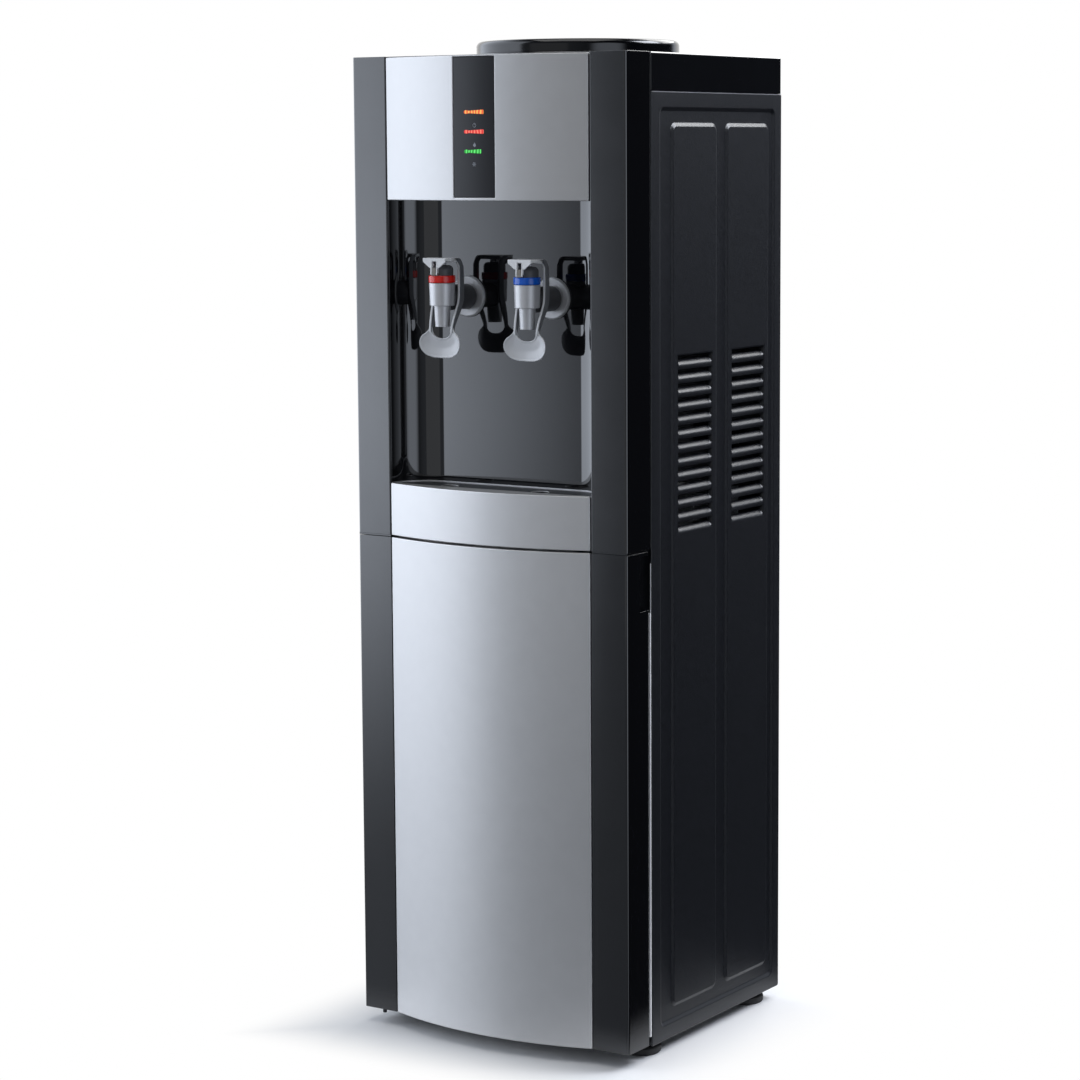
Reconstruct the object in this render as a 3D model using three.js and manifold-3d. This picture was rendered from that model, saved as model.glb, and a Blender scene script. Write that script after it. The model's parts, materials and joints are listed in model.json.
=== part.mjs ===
// Free-standing water cooler: a bottle seat on top, hot and cold taps in a recess, a cupboard below.
// Millimetres, +Z up, front towards -Y. Origin: middle of the footprint, on the floor.
import * as THREE from "three";
import { mergeVertices } from "three/addons/utils/BufferGeometryUtils.js";
import Module from "manifold-3d";

const wasm = await Module();
wasm.setup();

// Overall sizes.
const width = 310;
const depth = 312.5;
const frontBow = 20;
const pillarWidth = 39.5;
const bezelDepth = 41.7;
const footHeight = 12;
const doorLift = 3;
const doorHeight = 475;
const doorDepth = 37.1;
const panelSeam = 2;
const trayFasciaHeight = 51;
const recessHeight = 272.7;
const recessDepth = 40;
const recessCorner = 36.5;
const controlFasciaHeight = 134.7;
const coverRise = 1.2;
const deckDrop = 6;
const bandHeight = 35.5;
const tapHeight = 173.4;
const tapFront = 4;

// Stock thicknesses and clearances.
const sheet = 1.2;
const shell = 2.5;
const seat = 0.3;
const groove = 1.2;
const overrun = 3;
const weld = 0.001;

// Number of flats on turned pieces, and of steps along an arc.
const shownSides = 24;
const hiddenSides = 16;
const smallSides = 8;
const hoseSides = 8;
const arcSteps = 12;
const cornerSteps = 4;
const hoseSteps = 26;
const turnSteps = 2;

// Places worked out from the overall sizes.
const halfWidth = width / 2;
const frontY = -depth / 2;
const backY = depth / 2;
const pillarY = frontY + frontBow;
const innerX = halfWidth - pillarWidth;
const fasciaX = innerX - groove;
const doorZ = footHeight + doorLift;
const doorTopZ = doorZ + doorHeight;
const doorBackY = pillarY + doorDepth;
const trayFasciaZ = doorTopZ + panelSeam;
const recessZ = trayFasciaZ + trayFasciaHeight;
const controlFasciaZ = recessZ + recessHeight;
const frontTopZ = controlFasciaZ + controlFasciaHeight;
const coverTopZ = frontTopZ + coverRise;
const bandZ = coverTopZ - bandHeight;
const recessBackY = pillarY + recessDepth;
const carrierY = pillarY + shell + seat;
const bezelBackY = pillarY + bezelDepth;
const bowRadius = (innerX ** 2 + frontBow ** 2) / (2 * frontBow);
const bowCentreY = frontY + bowRadius;

// Finishes.
const finish = (color, roughness, metalness) =>
  new THREE.MeshStandardMaterial({ color, roughness, metalness });
const glossBlack = finish(0x0b0b0d, 0.18, 0);
const satinBlack = finish(0x2c2d30, 0.32, 0);
const silverPaint = finish(0xb9bcc2, 0.35, 0.7);
const charcoalSteel = finish(0x2a2c30, 0.55, 0.3);
const zincSteel = finish(0xa6a9ac, 0.4, 0.9);
const stainless = finish(0xc4c7ca, 0.28, 1);
const alloy = finish(0xb2b5b8, 0.4, 1);
const foam = finish(0xe4e2da, 0.95, 0);
const greyPlastic = finish(0xc9cbcc, 0.5, 0);
const whitePlastic = finish(0xf1f1ee, 0.35, 0);
const darkPlastic = finish(0x3b393d, 0.5, 0);
const trayGrey = finish(0x777a7e, 0.45, 0);
const blackRubber = finish(0x161616, 0.8, 0);
const clearHose = finish(0xd9dedf, 0.4, 0);
const redPlastic = finish(0xc81e10, 0.35, 0);
const bluePlastic = finish(0x0a56c4, 0.35, 0);
const greenPlastic = finish(0x1f9a3a, 0.35, 0);
const orangeLight = finish(0xf08a2a, 0.3, 0);
const redLight = finish(0xe83a20, 0.3, 0);
const greenLight = finish(0x35c45a, 0.3, 0);

// Shape tools.

// A closed geometry as a solid that can be joined and cut, with its faces turned outwards.
function solid(geometry) {
  geometry.deleteAttribute("normal");
  geometry.deleteAttribute("uv");
  const merged = mergeVertices(geometry, weld);
  const all = merged.index.array;
  const kept = [];
  for (let i = 0; i < all.length; i += 3) {
    const [a, b, c] = [all[i], all[i + 1], all[i + 2]];
    if (a !== b && b !== c && c !== a) kept.push(a, b, c);
  }
  const build = (triangles) =>
    new wasm.Manifold(
      new wasm.Mesh({
        numProp: 3,
        vertProperties: merged.attributes.position.array,
        triVerts: new Uint32Array(triangles),
      }),
    );
  const made = build(kept);
  return made.volume() < 0 ? build(kept.reverse()) : made;
}

const join = (first, ...others) => others.reduce((made, one) => made.add(one), first);
const cut = (first, ...others) => others.reduce((made, one) => made.subtract(one), first);

// A solid through level rectangles, each given as its x limits, its y limits and its height.
function loft(stations) {
  const corners = stations.flatMap(([[x0, x1], [y0, y1], z]) =>
    [x0, y0, z, x1, y0, z, x1, y1, z, x0, y1, z],
  );
  const last = 4 * (stations.length - 1);
  const faces = [0, 2, 1, 0, 3, 2, last, last + 1, last + 2, last, last + 2, last + 3];
  for (let level = 0; level < last; level += 4) {
    for (let i = 0; i < 4; i += 1) {
      const [a, b] = [level + i, level + ((i + 1) % 4)];
      faces.push(a, b, b + 4, a, b + 4, a + 4);
    }
  }
  const geometry = new THREE.BufferGeometry();
  geometry.setAttribute("position", new THREE.Float32BufferAttribute(corners, 3));
  geometry.setIndex(faces);
  return solid(geometry);
}

// A box given by its low and high limits on each axis.
const block = (x, y, [z0, z1]) =>
  loft([
    [x, y, z0],
    [x, y, z1],
  ]);

const unitX = new THREE.Vector3(1, 0, 0);
const unitY = new THREE.Vector3(0, 1, 0);
const unitZ = new THREE.Vector3(0, 0, 1);
const drawnOnYZ = new THREE.Matrix4().makeBasis(unitY, unitZ, unitX);
const drawnOnXZ = new THREE.Matrix4().makeBasis(unitX, unitZ, unitY.clone().negate());

// An outline drawn on the plane across an axis, and drawn out along that axis from low to high.
function prism(outline, low, high, axis = "z") {
  const shape = new THREE.Shape(outline.map(([u, v]) => new THREE.Vector2(u, v)));
  const geometry = new THREE.ExtrudeGeometry(shape, { depth: high - low, bevelEnabled: false });
  if (axis === "x") geometry.applyMatrix4(drawnOnYZ).translate(low, 0, 0);
  if (axis === "y") geometry.applyMatrix4(drawnOnXZ).translate(0, high, 0);
  if (axis === "z") geometry.translate(0, 0, low);
  return solid(geometry);
}

// A profile of [radius, height] points turned about an axis through a place.
function turned(profile, [x, y, z], sides, axis = "z") {
  const points = profile.map(([r, h]) => new THREE.Vector2(r, h));
  const geometry = new THREE.LatheGeometry(points, sides);
  if (axis === "z") geometry.rotateX(Math.PI / 2);
  if (axis === "x") geometry.rotateZ(-Math.PI / 2);
  geometry.translate(x, y, z);
  return solid(geometry);
}

// A round bar from low to high along an axis, in heights counted from the place.
function bar(radius, low, high, place, sides, axis = "z") {
  const profile = [
    [0, low],
    [radius, low],
    [radius, high],
    [0, high],
  ];
  return turned(profile, place, sides, axis);
}

// A tube, closed on itself.
function tube(inner, outer, low, high, place, sides, axis = "z") {
  const profile = [
    [inner, low],
    [outer, low],
    [outer, high],
    [inner, high],
    [inner, low],
  ];
  return turned(profile, place, sides, axis);
}

// Points along an arc, both ends included; angles in turns.
function arc([cx, cy], radius, from, to, steps) {
  return Array.from({ length: steps + 1 }, (_, i) => {
    const angle = 2 * Math.PI * (from + ((to - from) * i) / steps);
    return [cx + radius * Math.cos(angle), cy + radius * Math.sin(angle)];
  });
}

// A rectangle with rounded corners, drawn anticlockwise.
function roundedRectangle([u0, u1], [v0, v1], radius, steps = cornerSteps) {
  return [
    ...arc([u1 - radius, v0 + radius], radius, 0.75, 1, steps),
    ...arc([u1 - radius, v1 - radius], radius, 0, 0.25, steps),
    ...arc([u0 + radius, v1 - radius], radius, 0.25, 0.5, steps),
    ...arc([u0 + radius, v0 + radius], radius, 0.5, 0.75, steps),
  ];
}

// The bowed front line, set back by inset, from -halfChord to halfChord.
const bowY = (x, inset) => bowCentreY - Math.sqrt((bowRadius - inset) ** 2 - x ** 2);
function bowLine(halfChord, inset) {
  return Array.from({ length: arcSteps + 1 }, (_, i) => {
    const x = halfChord * ((2 * i) / arcSteps - 1);
    return [x, bowY(x, inset)];
  });
}

// A hose of round section along a smooth route through the given places.
function hose(inner, outer, places) {
  const ring = (radius) => arc([0, 0], radius, 0, 1, hoseSides).map(([u, v]) => new THREE.Vector2(u, v));
  const section = new THREE.Shape(ring(outer));
  section.holes.push(new THREE.Path(ring(inner)));
  const route = places.map((place) => new THREE.Vector3(...place));
  const extrudePath = new THREE.CatmullRomCurve3(route, false, "centripetal");
  const settings = { steps: hoseSteps, extrudePath, bevelEnabled: false };
  return solid(new THREE.ExtrudeGeometry(section, settings));
}

const cooler = new THREE.Group();

// A solid as a named mesh in a group.
function add(name, made, material, group = cooler) {
  const found = made.getMesh();
  const geometry = new THREE.BufferGeometry();
  geometry.setAttribute("position", new THREE.BufferAttribute(found.vertProperties, 3));
  geometry.setIndex(new THREE.BufferAttribute(found.triVerts, 1));
  geometry.computeVertexNormals();
  const mesh = new THREE.Mesh(geometry, material);
  mesh.name = name;
  group.add(mesh);
  return mesh;
}

// Levelling feet.
const foot = { radius: 20, height: 8, edge: 1.5, stem: 5, rise: 9, side: 25, rear: 30, front: 62 };
const footPlaces = {
  front_left: [-halfWidth + foot.side, pillarY + foot.front],
  front_right: [halfWidth - foot.side, pillarY + foot.front],
  rear_left: [-halfWidth + foot.side, backY - foot.rear],
  rear_right: [halfWidth - foot.side, backY - foot.rear],
};

function levellingFoot() {
  const profile = [
    [0, 0],
    [foot.radius - foot.edge, 0],
    [foot.radius, foot.edge],
    [foot.radius, foot.height - foot.edge],
    [foot.radius - foot.edge, foot.height],
    [foot.stem, foot.height],
    [foot.stem, footHeight + foot.rise],
    [0, footHeight + foot.rise],
  ];
  return turned(profile, [0, 0, 0], hiddenSides);
}

for (const [name, [x, y]] of Object.entries(footPlaces)) {
  add(`foot_${name}`, levellingFoot(), blackRubber).position.set(x, y, 0);
}

// Steel side panels, with a pressed border round two raised fields and two columns of louvres.
const panel = { inset: 1, gap: 3.2, flange: 15 };
const emboss = { depth: 2, front: 15, rear: 13, bottom: 14, top: 14, corner: 10 };
const margin = { front: 26, middle: 23.4, rear: 14.2, ends: 18.5 };
const louvre = { count: 13, pitch: 13.2, height: 9.5, side: 7, rise: 101.5, reach: 4.5, short: 1.8 };
const panelX = halfWidth - panel.inset;
const panelInnerX = panelX - sheet;
const panelY = bezelBackY + panel.gap;
const panelTopZ = bandZ - seat;
const insideX = panelInnerX - emboss.depth - seat;
const embossY = [panelY + emboss.front, backY - emboss.rear];
const embossZ = [footHeight + emboss.bottom, panelTopZ - emboss.top];
const fieldWidth = (embossY[1] - embossY[0] - margin.front - margin.middle - margin.rear) / 2;
const fieldZ = [embossZ[0] + margin.ends, embossZ[1] - margin.ends];
const fieldStarts = [embossY[0] + margin.front, embossY[1] - margin.rear - fieldWidth];
const louvreLength = fieldWidth - 2 * louvre.side;
const deckZ = doorTopZ - deckDrop;

// The border between two depths as a solid, narrowed on all its sides by an inset.
function pressedBorder(inset, low, high) {
  const grown = ([from, to], by) => [from - by, to + by];
  const outline = roundedRectangle(grown(embossY, -inset), grown(embossZ, -inset), emboss.corner, 2);
  const fields = fieldStarts.map((y) =>
    prism(
      roundedRectangle(grown([y, y + fieldWidth], inset), grown(fieldZ, inset), emboss.corner, 2),
      low - overrun,
      high + overrun,
      "x",
    ),
  );
  return cut(prism(outline, low, high, "x"), ...fields);
}

// One louvre's slot, and the blade that leans inwards from its lower edge.
function louvreSlot(y, z) {
  return block(
    [panelInnerX - overrun, panelX + overrun],
    [y - louvreLength / 2, y + louvreLength / 2],
    [z - louvre.height / 2, z + louvre.height / 2],
  );
}

function louvreBlade(y, z) {
  const low = z - louvre.height / 2 - sheet / 2;
  const root = panelInnerX + sheet / 2;
  const tip = panelInnerX - louvre.reach;
  const outline = [
    [root, low],
    [root, low + sheet],
    [tip, low + sheet + louvre.reach],
    [tip, low + louvre.reach],
  ];
  const end = louvreLength / 2 - louvre.short;
  return prism(outline, y - end, y + end, "y");
}

function sidePanel() {
  const skin = block([panelInnerX, panelX], [panelY, backY], [footHeight, panelTopZ]);
  const flange = block([panelX - panel.flange, panelX], [panelY, panelY + sheet], [footHeight, panelTopZ]);
  const pressed = cut(
    join(skin, flange, pressedBorder(0, panelInnerX - emboss.depth, panelX - sheet / 2)),
    pressedBorder(sheet, panelX - emboss.depth, panelX + overrun),
  );
  const places = fieldStarts.flatMap((y) =>
    Array.from({ length: louvre.count }, (_, i) => [
      y + fieldWidth / 2,
      deckZ + louvre.rise + (i - (louvre.count - 1) / 2) * louvre.pitch,
    ]),
  );
  const open = cut(pressed, ...places.map(([y, z]) => louvreSlot(y, z)));
  return join(open, ...places.map(([y, z]) => louvreBlade(y, z)));
}

add("right_side_panel", sidePanel(), charcoalSteel);
add("left_side_panel", sidePanel(), charcoalSteel).scale.x = -1;

// Base tray that the feet screw into.
const base = { rim: 28 };
const insideY = panelY + sheet + seat;
const baseTopZ = footHeight + base.rim;

function baseTray() {
  const pan = block([-insideX, insideX], [insideY, backY - seat], [footHeight, baseTopZ]);
  const hollow = block(
    [-insideX + sheet, insideX - sheet],
    [insideY + sheet, backY - seat - sheet],
    [footHeight + sheet, baseTopZ + overrun],
  );
  const holes = Object.values(footPlaces).map(([x, y]) =>
    bar(foot.stem + seat, -overrun, sheet + overrun, [x, y, footHeight], hiddenSides),
  );
  return cut(pan, hollow, ...holes);
}

add("base_tray", baseTray(), charcoalSteel);

// Rear panel: a pan whose rim reaches the cabinet's back edge, with vents and cut-outs.
const rear = { recess: 14, ventHeight: 5, ventLength: 84, ventPitch: 12, ventCount: 7 };
const hotVent = { height: 44, count: 4 };
const rearZ = baseTopZ + seat;
const rearPlateY = [backY - rear.recess - sheet, backY - rear.recess];
const inlet = { side: 58.5, z: 44, width: 27, height: 20, wall: 2, depth: 17, rim: 3, lip: 2 };
const rocker = { z: 92, pitch: 28, width: 13, radius: 9.5, nose: 3, tiltDegrees: 10, tipShare: 0.19 };
const drain = { z: 16, inner: 5.3, outer: 8, end: 8, inset: 6 };
const inletX = insideX - inlet.side;
const inletZ = deckZ + inlet.z;
const rockerZ = deckZ + rocker.z;
const rockerXs = [inletX - rocker.pitch / 2, inletX + rocker.pitch / 2];
const drainZ = deckZ + sheet + drain.z;

// Fan, heat sink and cooling module, stacked from the rear panel forwards to the cold tank.
const cold = { height: 175, drop: 56.6, wall: 1, mouthRoom: 2, foamBottom: 15, hoseRoom: 12.6 };
const cooling = { size: 44, depth: 21, rise: 88 };
const finCount = 10;
const sink = { size: 90, base: 4, fin: 1.6, finDepth: 11 };
const fan = { size: 92, depth: 15, ring: 42, hub: 14, hubDepth: 3, arm: 5, tip: 39, blade: 1.6, shaft: 2 };
const fanBladeCount = 7;
const coldTopZ = coverTopZ - cold.drop;
const coldZ = coldTopZ - cold.height;
const coolingZ = coldZ + cooling.rise;
const fanY = [rearPlateY[0] - seat - fan.depth, rearPlateY[0] - seat];
const sinkBackY = fanY[0] - seat;
const sinkY = sinkBackY - sink.base - sink.finDepth;
const coolingBackY = sinkY - seat;

// The tap's shank runs through the recess wall to a tail, and the cold tank's jacket starts behind it.
const shank = { collar: 12, radius: 10.4, clamp: 3, past: 2, tail: 12 };
const tailY = recessBackY + shell + seat + shank.clamp + shank.past;
const tailEndY = tailY + shank.tail;
const jacketY = tailEndY + cold.hoseRoom;
// The foam's thickness is a share of the tank's radius, so both follow the depth that is left.
const foamShare = 0.354;
const coldRadius = (coolingBackY - jacketY - cooling.depth) / (2 + foamShare);
const jacketRadius = coldRadius * (1 + foamShare);
const bottleY = coolingBackY - cooling.depth - coldRadius;

function rearPanel() {
  const pan = block([-insideX, insideX], [rearPlateY[0], backY], [rearZ, panelTopZ]);
  const hollow = block(
    [-insideX + sheet, insideX - sheet],
    [rearPlateY[1], backY + overrun],
    [rearZ + sheet, panelTopZ - sheet],
  );
  const through = [rearPlateY[0] - overrun, rearPlateY[1] + overrun];
  const vent = (z) =>
    block([-rear.ventLength / 2, rear.ventLength / 2], through, [z, z + rear.ventHeight]);
  const fanVents = Array.from({ length: rear.ventCount }, (_, i) =>
    vent(coolingZ + (i - (rear.ventCount - 1) / 2) * rear.ventPitch - rear.ventHeight / 2),
  );
  const lowVents = Array.from({ length: hotVent.count }, (_, i) =>
    vent(deckZ + hotVent.height + i * rear.ventPitch),
  );
  const socket = block(
    [inletX - inlet.width / 2 - seat, inletX + inlet.width / 2 + seat],
    through,
    [inletZ - inlet.height / 2 - seat, inletZ + inlet.height / 2 + seat],
  );
  const rockers = rockerXs.map((x) =>
    block(
      [x - rocker.width / 2 - seat, x + rocker.width / 2 + seat],
      through,
      [rockerZ - rocker.radius - seat, rockerZ + rocker.radius + seat],
    ),
  );
  const drainHole = bar(
    drain.outer + seat,
    through[0],
    through[1],
    [0, 0, drainZ],
    hiddenSides,
    "y",
  );
  return cut(pan, hollow, ...fanVents, ...lowVents, socket, ...rockers, drainHole);
}

add("rear_panel", rearPanel(), charcoalSteel);

// Mains inlet socket.
function powerInlet() {
  const body = block(
    [inletX - inlet.width / 2, inletX + inlet.width / 2],
    [rearPlateY[0] - inlet.depth, rearPlateY[1] + seat],
    [inletZ - inlet.height / 2, inletZ + inlet.height / 2],
  );
  const flange = block(
    [inletX - inlet.width / 2 - inlet.rim, inletX + inlet.width / 2 + inlet.rim],
    [rearPlateY[1] + seat, rearPlateY[1] + seat + inlet.lip],
    [inletZ - inlet.height / 2 - inlet.rim, inletZ + inlet.height / 2 + inlet.rim],
  );
  const socket = block(
    [inletX - inlet.width / 2 + inlet.wall, inletX + inlet.width / 2 - inlet.wall],
    [rearPlateY[0] - inlet.depth + inlet.wall, rearPlateY[1] + seat + inlet.lip + overrun],
    [inletZ - inlet.height / 2 + inlet.wall, inletZ + inlet.height / 2 - inlet.wall],
  );
  return cut(join(body, flange), socket);
}

add("power_inlet", powerInlet(), darkPlastic);

// Rocker switches, each turning about a line in the rear panel's plane.
const rockerY = (rearPlateY[0] + rearPlateY[1]) / 2;

function rockerKey() {
  const outline = [
    ...arc([0, 0], rocker.radius, rocker.tipShare, 1 - rocker.tipShare, smallSides),
    [rocker.nose, 0],
  ];
  return prism(outline, -rocker.width / 2, rocker.width / 2, "x");
}

for (const [i, name] of ["hot_switch", "cold_switch"].entries()) {
  const key = add(name, rockerKey(), i ? greenPlastic : redPlastic);
  key.position.set(rockerXs[i], rockerY, rockerZ);
  key.rotation.x = THREE.MathUtils.degToRad(rocker.tiltDegrees);
}

// Top cover with side bands, a low raised platform and the well that holds the bottle seat.
const cover = { corner: 4, front: 1.5, platform: 3, border: 8, bevel: 2, rear: 4 };
const well = { front: 22.7, wall: 2.5, depth: 16.6, ledge: 7 };
const coverY = bezelBackY + cover.front;
const wellRadius = bottleY - coverY - well.front - well.wall;
const collar = { lip: 7, height: 12.3, round: 5, top: 6, slope: 16, skirt: 10 };
const collarRadius = wellRadius + collar.lip;
const platformZ = coverTopZ + cover.platform;
const wellLedgeZ = platformZ - well.depth;

// The platform's outline: a half circle round the bottle seat, running straight to the back.
function platformOutline(inset) {
  const radius = collarRadius + cover.border - inset;
  return [
    ...arc([0, bottleY], radius, 0.5, 1, arcSteps),
    [radius, backY - cover.rear - inset],
    [-radius, backY - cover.rear - inset],
  ];
}

function topCover() {
  const outer = prism(
    roundedRectangle([-halfWidth, halfWidth], [coverY, backY], cover.corner, 3),
    bandZ,
    coverTopZ,
  );
  const hollow = block(
    [-halfWidth + shell, halfWidth - shell],
    [coverY + shell, backY - shell],
    [bandZ - overrun, coverTopZ - shell],
  );
  const platform = prism(platformOutline(cover.bevel / 2), coverTopZ - shell / 2, platformZ);
  const place = [0, bottleY, 0];
  const wall = bar(wellRadius + well.wall, wellLedgeZ - well.wall, coverTopZ, place, shownSides);
  const mouth = bar(wellRadius, wellLedgeZ, platformZ + overrun, place, shownSides);
  const throat = bar(
    wellRadius - well.ledge,
    wellLedgeZ - well.wall - overrun,
    wellLedgeZ + overrun,
    place,
    shownSides,
  );
  return cut(join(cut(outer, hollow), platform, wall), mouth, throat);
}

add("top_cover", topCover(), glossBlack);

// Bottle seat: the collar that shows, and the funnel with its hollow spike below it.
const funnel = { flange: 2.4, throat: 34, wall: 2.5, coneDepth: 38, length: 76, spike: 7, point: 9 };
const spider = { count: 4, radius: 6, circle: 18 };
const collarZ = platformZ + seat;
const collarTopZ = collarZ + collar.height;

function bottleCollar() {
  const inner = collarRadius - collar.round - collar.top;
  const profile = [
    [collarRadius, 0],
    ...arc([collarRadius - collar.round, collar.height - collar.round], collar.round, 0, 0.25, 3),
    [inner, collar.height],
    [inner - collar.slope, collar.height - collar.slope],
    [inner - collar.slope, -collar.skirt],
    [wellRadius - seat, -collar.skirt],
    [wellRadius - seat, 0],
    [collarRadius, 0],
  ];
  return turned(profile, [0, bottleY, collarZ], shownSides);
}

function bottleFunnel() {
  const rim = wellRadius - 2 * seat;
  const mouth = rim - well.ledge - funnel.flange;
  const top = wellLedgeZ + seat + funnel.flange;
  const throat = funnel.throat - funnel.wall;
  const profile = [
    [rim, 0],
    [mouth, 0],
    [throat, -funnel.coneDepth],
    [throat, funnel.wall - funnel.length],
    [funnel.spike, funnel.wall - funnel.length],
    [funnel.spike, -funnel.coneDepth / 2],
    [0, funnel.point - funnel.coneDepth / 2],
    [0, -funnel.length],
    [funnel.throat, -funnel.length],
    [funnel.throat, -funnel.coneDepth],
    [mouth, -funnel.flange],
    [rim, -funnel.flange],
    [rim, 0],
  ];
  const body = turned(profile, [0, bottleY, top], shownSides);
  const holes = Array.from({ length: spider.count }, (_, i) => {
    const angle = (2 * Math.PI * i) / spider.count;
    const place = [
      spider.circle * Math.cos(angle),
      bottleY + spider.circle * Math.sin(angle),
      top - funnel.length,
    ];
    return bar(spider.radius, -overrun, funnel.wall + overrun, place, smallSides);
  });
  return cut(body, ...holes);
}

add("bottle_collar", bottleCollar(), glossBlack);
add("bottle_funnel", bottleFunnel(), whitePlastic);

// Upper front pillars.
const pillar = { round: 3 };
const clip = { count: 5, height: 12, width: 8, reach: 6 };
const hinge = { side: 10, back: 20, pin: 2, depth: 12, boss: 6, plate: 1.5, tip: 5, tail: 26, span: 15 };
const hingePlace = [-halfWidth + hinge.side, pillarY + hinge.back];

// The right pillar's outline seen from above, rounded at its outer front edge.
function pillarOutline(backLine) {
  const centre = [halfWidth - pillar.round, pillarY + pillar.round];
  return [
    [innerX, pillarY],
    ...arc(centre, pillar.round, 0.75, 1, 3),
    [halfWidth, backLine],
    [innerX, backLine],
  ];
}

function frontPillar() {
  const outer = prism(pillarOutline(bezelBackY), trayFasciaZ, coverTopZ);
  const hollow = block(
    [innerX - overrun, halfWidth - shell],
    [pillarY + shell, bezelBackY + overrun],
    [trayFasciaZ + shell, coverTopZ - shell],
  );
  const clips = Array.from({ length: clip.count }, (_, i) => {
    const z = trayFasciaZ + (i * (panelTopZ - trayFasciaZ - clip.height)) / (clip.count - 1);
    return block(
      [halfWidth - shell - clip.width, halfWidth - shell / 2],
      [bezelBackY - clip.reach, panelY - seat],
      [z, z + clip.height],
    );
  });
  const pinHole = bar(
    hinge.pin + seat,
    -overrun,
    shell + overrun,
    [-hingePlace[0], hingePlace[1], trayFasciaZ],
    smallSides,
  );
  return cut(join(cut(outer, hollow), ...clips), pinHole);
}

add("right_pillar", frontPillar(), satinBlack);
add("left_pillar", frontPillar(), satinBlack).scale.x = -1;

// Recess liner: the gloss centre moulding that carries the fascias, the taps and the drip tray.
const ledge = { drop: 1, plate: 2, tray: 19 };
const plateZ = recessZ - ledge.drop - ledge.plate;
const trayZ = plateZ - seat - ledge.tray;
const shelfZ = trayZ - seat;
const ceilingZ = controlFasciaZ + ledge.drop;
const linerX = innerX + shell;
const tapPlaceZ = recessZ + tapHeight;
const tapY = pillarY - tapFront;

// The recess seen from above, grown outwards by an offset, with its front edge at a given line.
function recessOutline(offset, frontLine) {
  const x = innerX + offset;
  const y = recessBackY + offset;
  const radius = recessCorner + offset;
  return [
    [-x, frontLine],
    [x, frontLine],
    ...arc([x - radius, y - radius], radius, 0, 0.25, cornerSteps),
    ...arc([radius - x, y - radius], radius, 0.25, 0.5, cornerSteps),
  ];
}

// A flat plate that follows the bow in front and the recess behind.
function bowedPlate(low, high, wide) {
  const inset = shell + seat;
  const chord = Math.sqrt((bowRadius - inset) ** 2 - (bowCentreY - pillarY) ** 2);
  const rearEdge = carrierY + seat;
  const front = prism([...bowLine(chord, inset), [chord, rearEdge], [-chord, rearEdge]], low, high);
  const back = prism(recessOutline(wide, carrierY), low, high);
  return { front, back, chord };
}

// Tap sizes, counted from the tap's own upright axis and the foot of its silver sleeve.
const tap = {
  topRadius: 12.4,
  footRadius: 11.75,
  height: 21.6,
  nozzle: 18,
  nozzleTop: 7.9,
  nozzleFoot: 6.75,
  bore: 4,
  boreTop: 8,
  stubRise: 7.1,
  ringHeight: 6.8,
  ringRadius: 12.6,
  ringWall: 1.55,
  bonnetRise: 9.6,
  bonnetRound: 2.5,
  flangeRadius: 20,
  flangeDepth: 3,
  cornerRoom: 10.5,
};
const tapStubZ = tapPlaceZ + tap.stubRise;
const tapX = innerX - recessCorner - tap.cornerRoom - tap.flangeRadius;
const tapXs = [-tapX, tapX];

function recessLiner() {
  const back = recessBackY + shell;
  const well = cut(
    prism(recessOutline(shell, carrierY), shelfZ - shell, ceilingZ + shell),
    prism(recessOutline(0, carrierY - overrun), shelfZ, ceilingZ),
  );
  const upper = block(
    [-linerX, linerX],
    [carrierY, carrierY + shell],
    [ceilingZ, coverTopZ - shell - seat],
  );
  const lower = block(
    [-linerX, linerX],
    [carrierY, carrierY + shell],
    [trayFasciaZ + shell + seat, shelfZ],
  );
  const top = block(
    [-innerX + seat, innerX - seat],
    [carrierY, bezelBackY],
    [coverTopZ - shell, coverTopZ],
  );
  const topSeat = block(
    [-innerX + seat, innerX - seat],
    [carrierY, carrierY + shell],
    [ceilingZ, coverTopZ],
  );
  const ceiling = bowedPlate(ceilingZ, ceilingZ + shell, 0).front;
  const shelf = bowedPlate(shelfZ - shell, shelfZ, 0).front;
  const holes = tapXs.map((x) =>
    bar(
      shank.radius + seat,
      recessBackY - overrun,
      back + overrun,
      [x, 0, tapStubZ],
      hiddenSides,
      "y",
    ),
  );
  return cut(join(well, upper, lower, top, topSeat, ceiling, shelf), ...holes);
}

add("recess_liner", recessLiner(), glossBlack);

// A hollow bowed cap that clips between the pillars; open behind, and closed at the ends asked for.
function bowedCap(low, high, closedBelow, closedAbove) {
  const back = pillarY + shell;
  const outer = prism([...bowLine(fasciaX, 0), [fasciaX, back], [-fasciaX, back]], low, high);
  const inner = fasciaX - shell;
  const hollow = prism(
    [...bowLine(inner, shell), [inner, back + overrun], [-inner, back + overrun]],
    closedBelow ? low + shell : low - overrun,
    closedAbove ? high - shell : high + overrun,
  );
  return cut(outer, hollow);
}

// Control strip and its three light bars.
const strip = { width: 46.8, bottom: 3, top: 1.5, sunk: 0.6, thickness: 1.8 };
const light = { length: 22, height: 4, tip: 2, depth: 6, first: 52.5, pitch: 18.2 };
const stripZ = [controlFasciaZ + strip.bottom, frontTopZ - strip.top];
const lightZs = [0, 1, 2].map((i) => frontTopZ - light.first - i * light.pitch);

function controlFascia() {
  const window = block(
    [-strip.width / 2, strip.width / 2],
    [frontY - overrun, frontY + shell + overrun],
    stripZ,
  );
  return cut(bowedCap(controlFasciaZ, frontTopZ, false, true), window);
}

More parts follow.
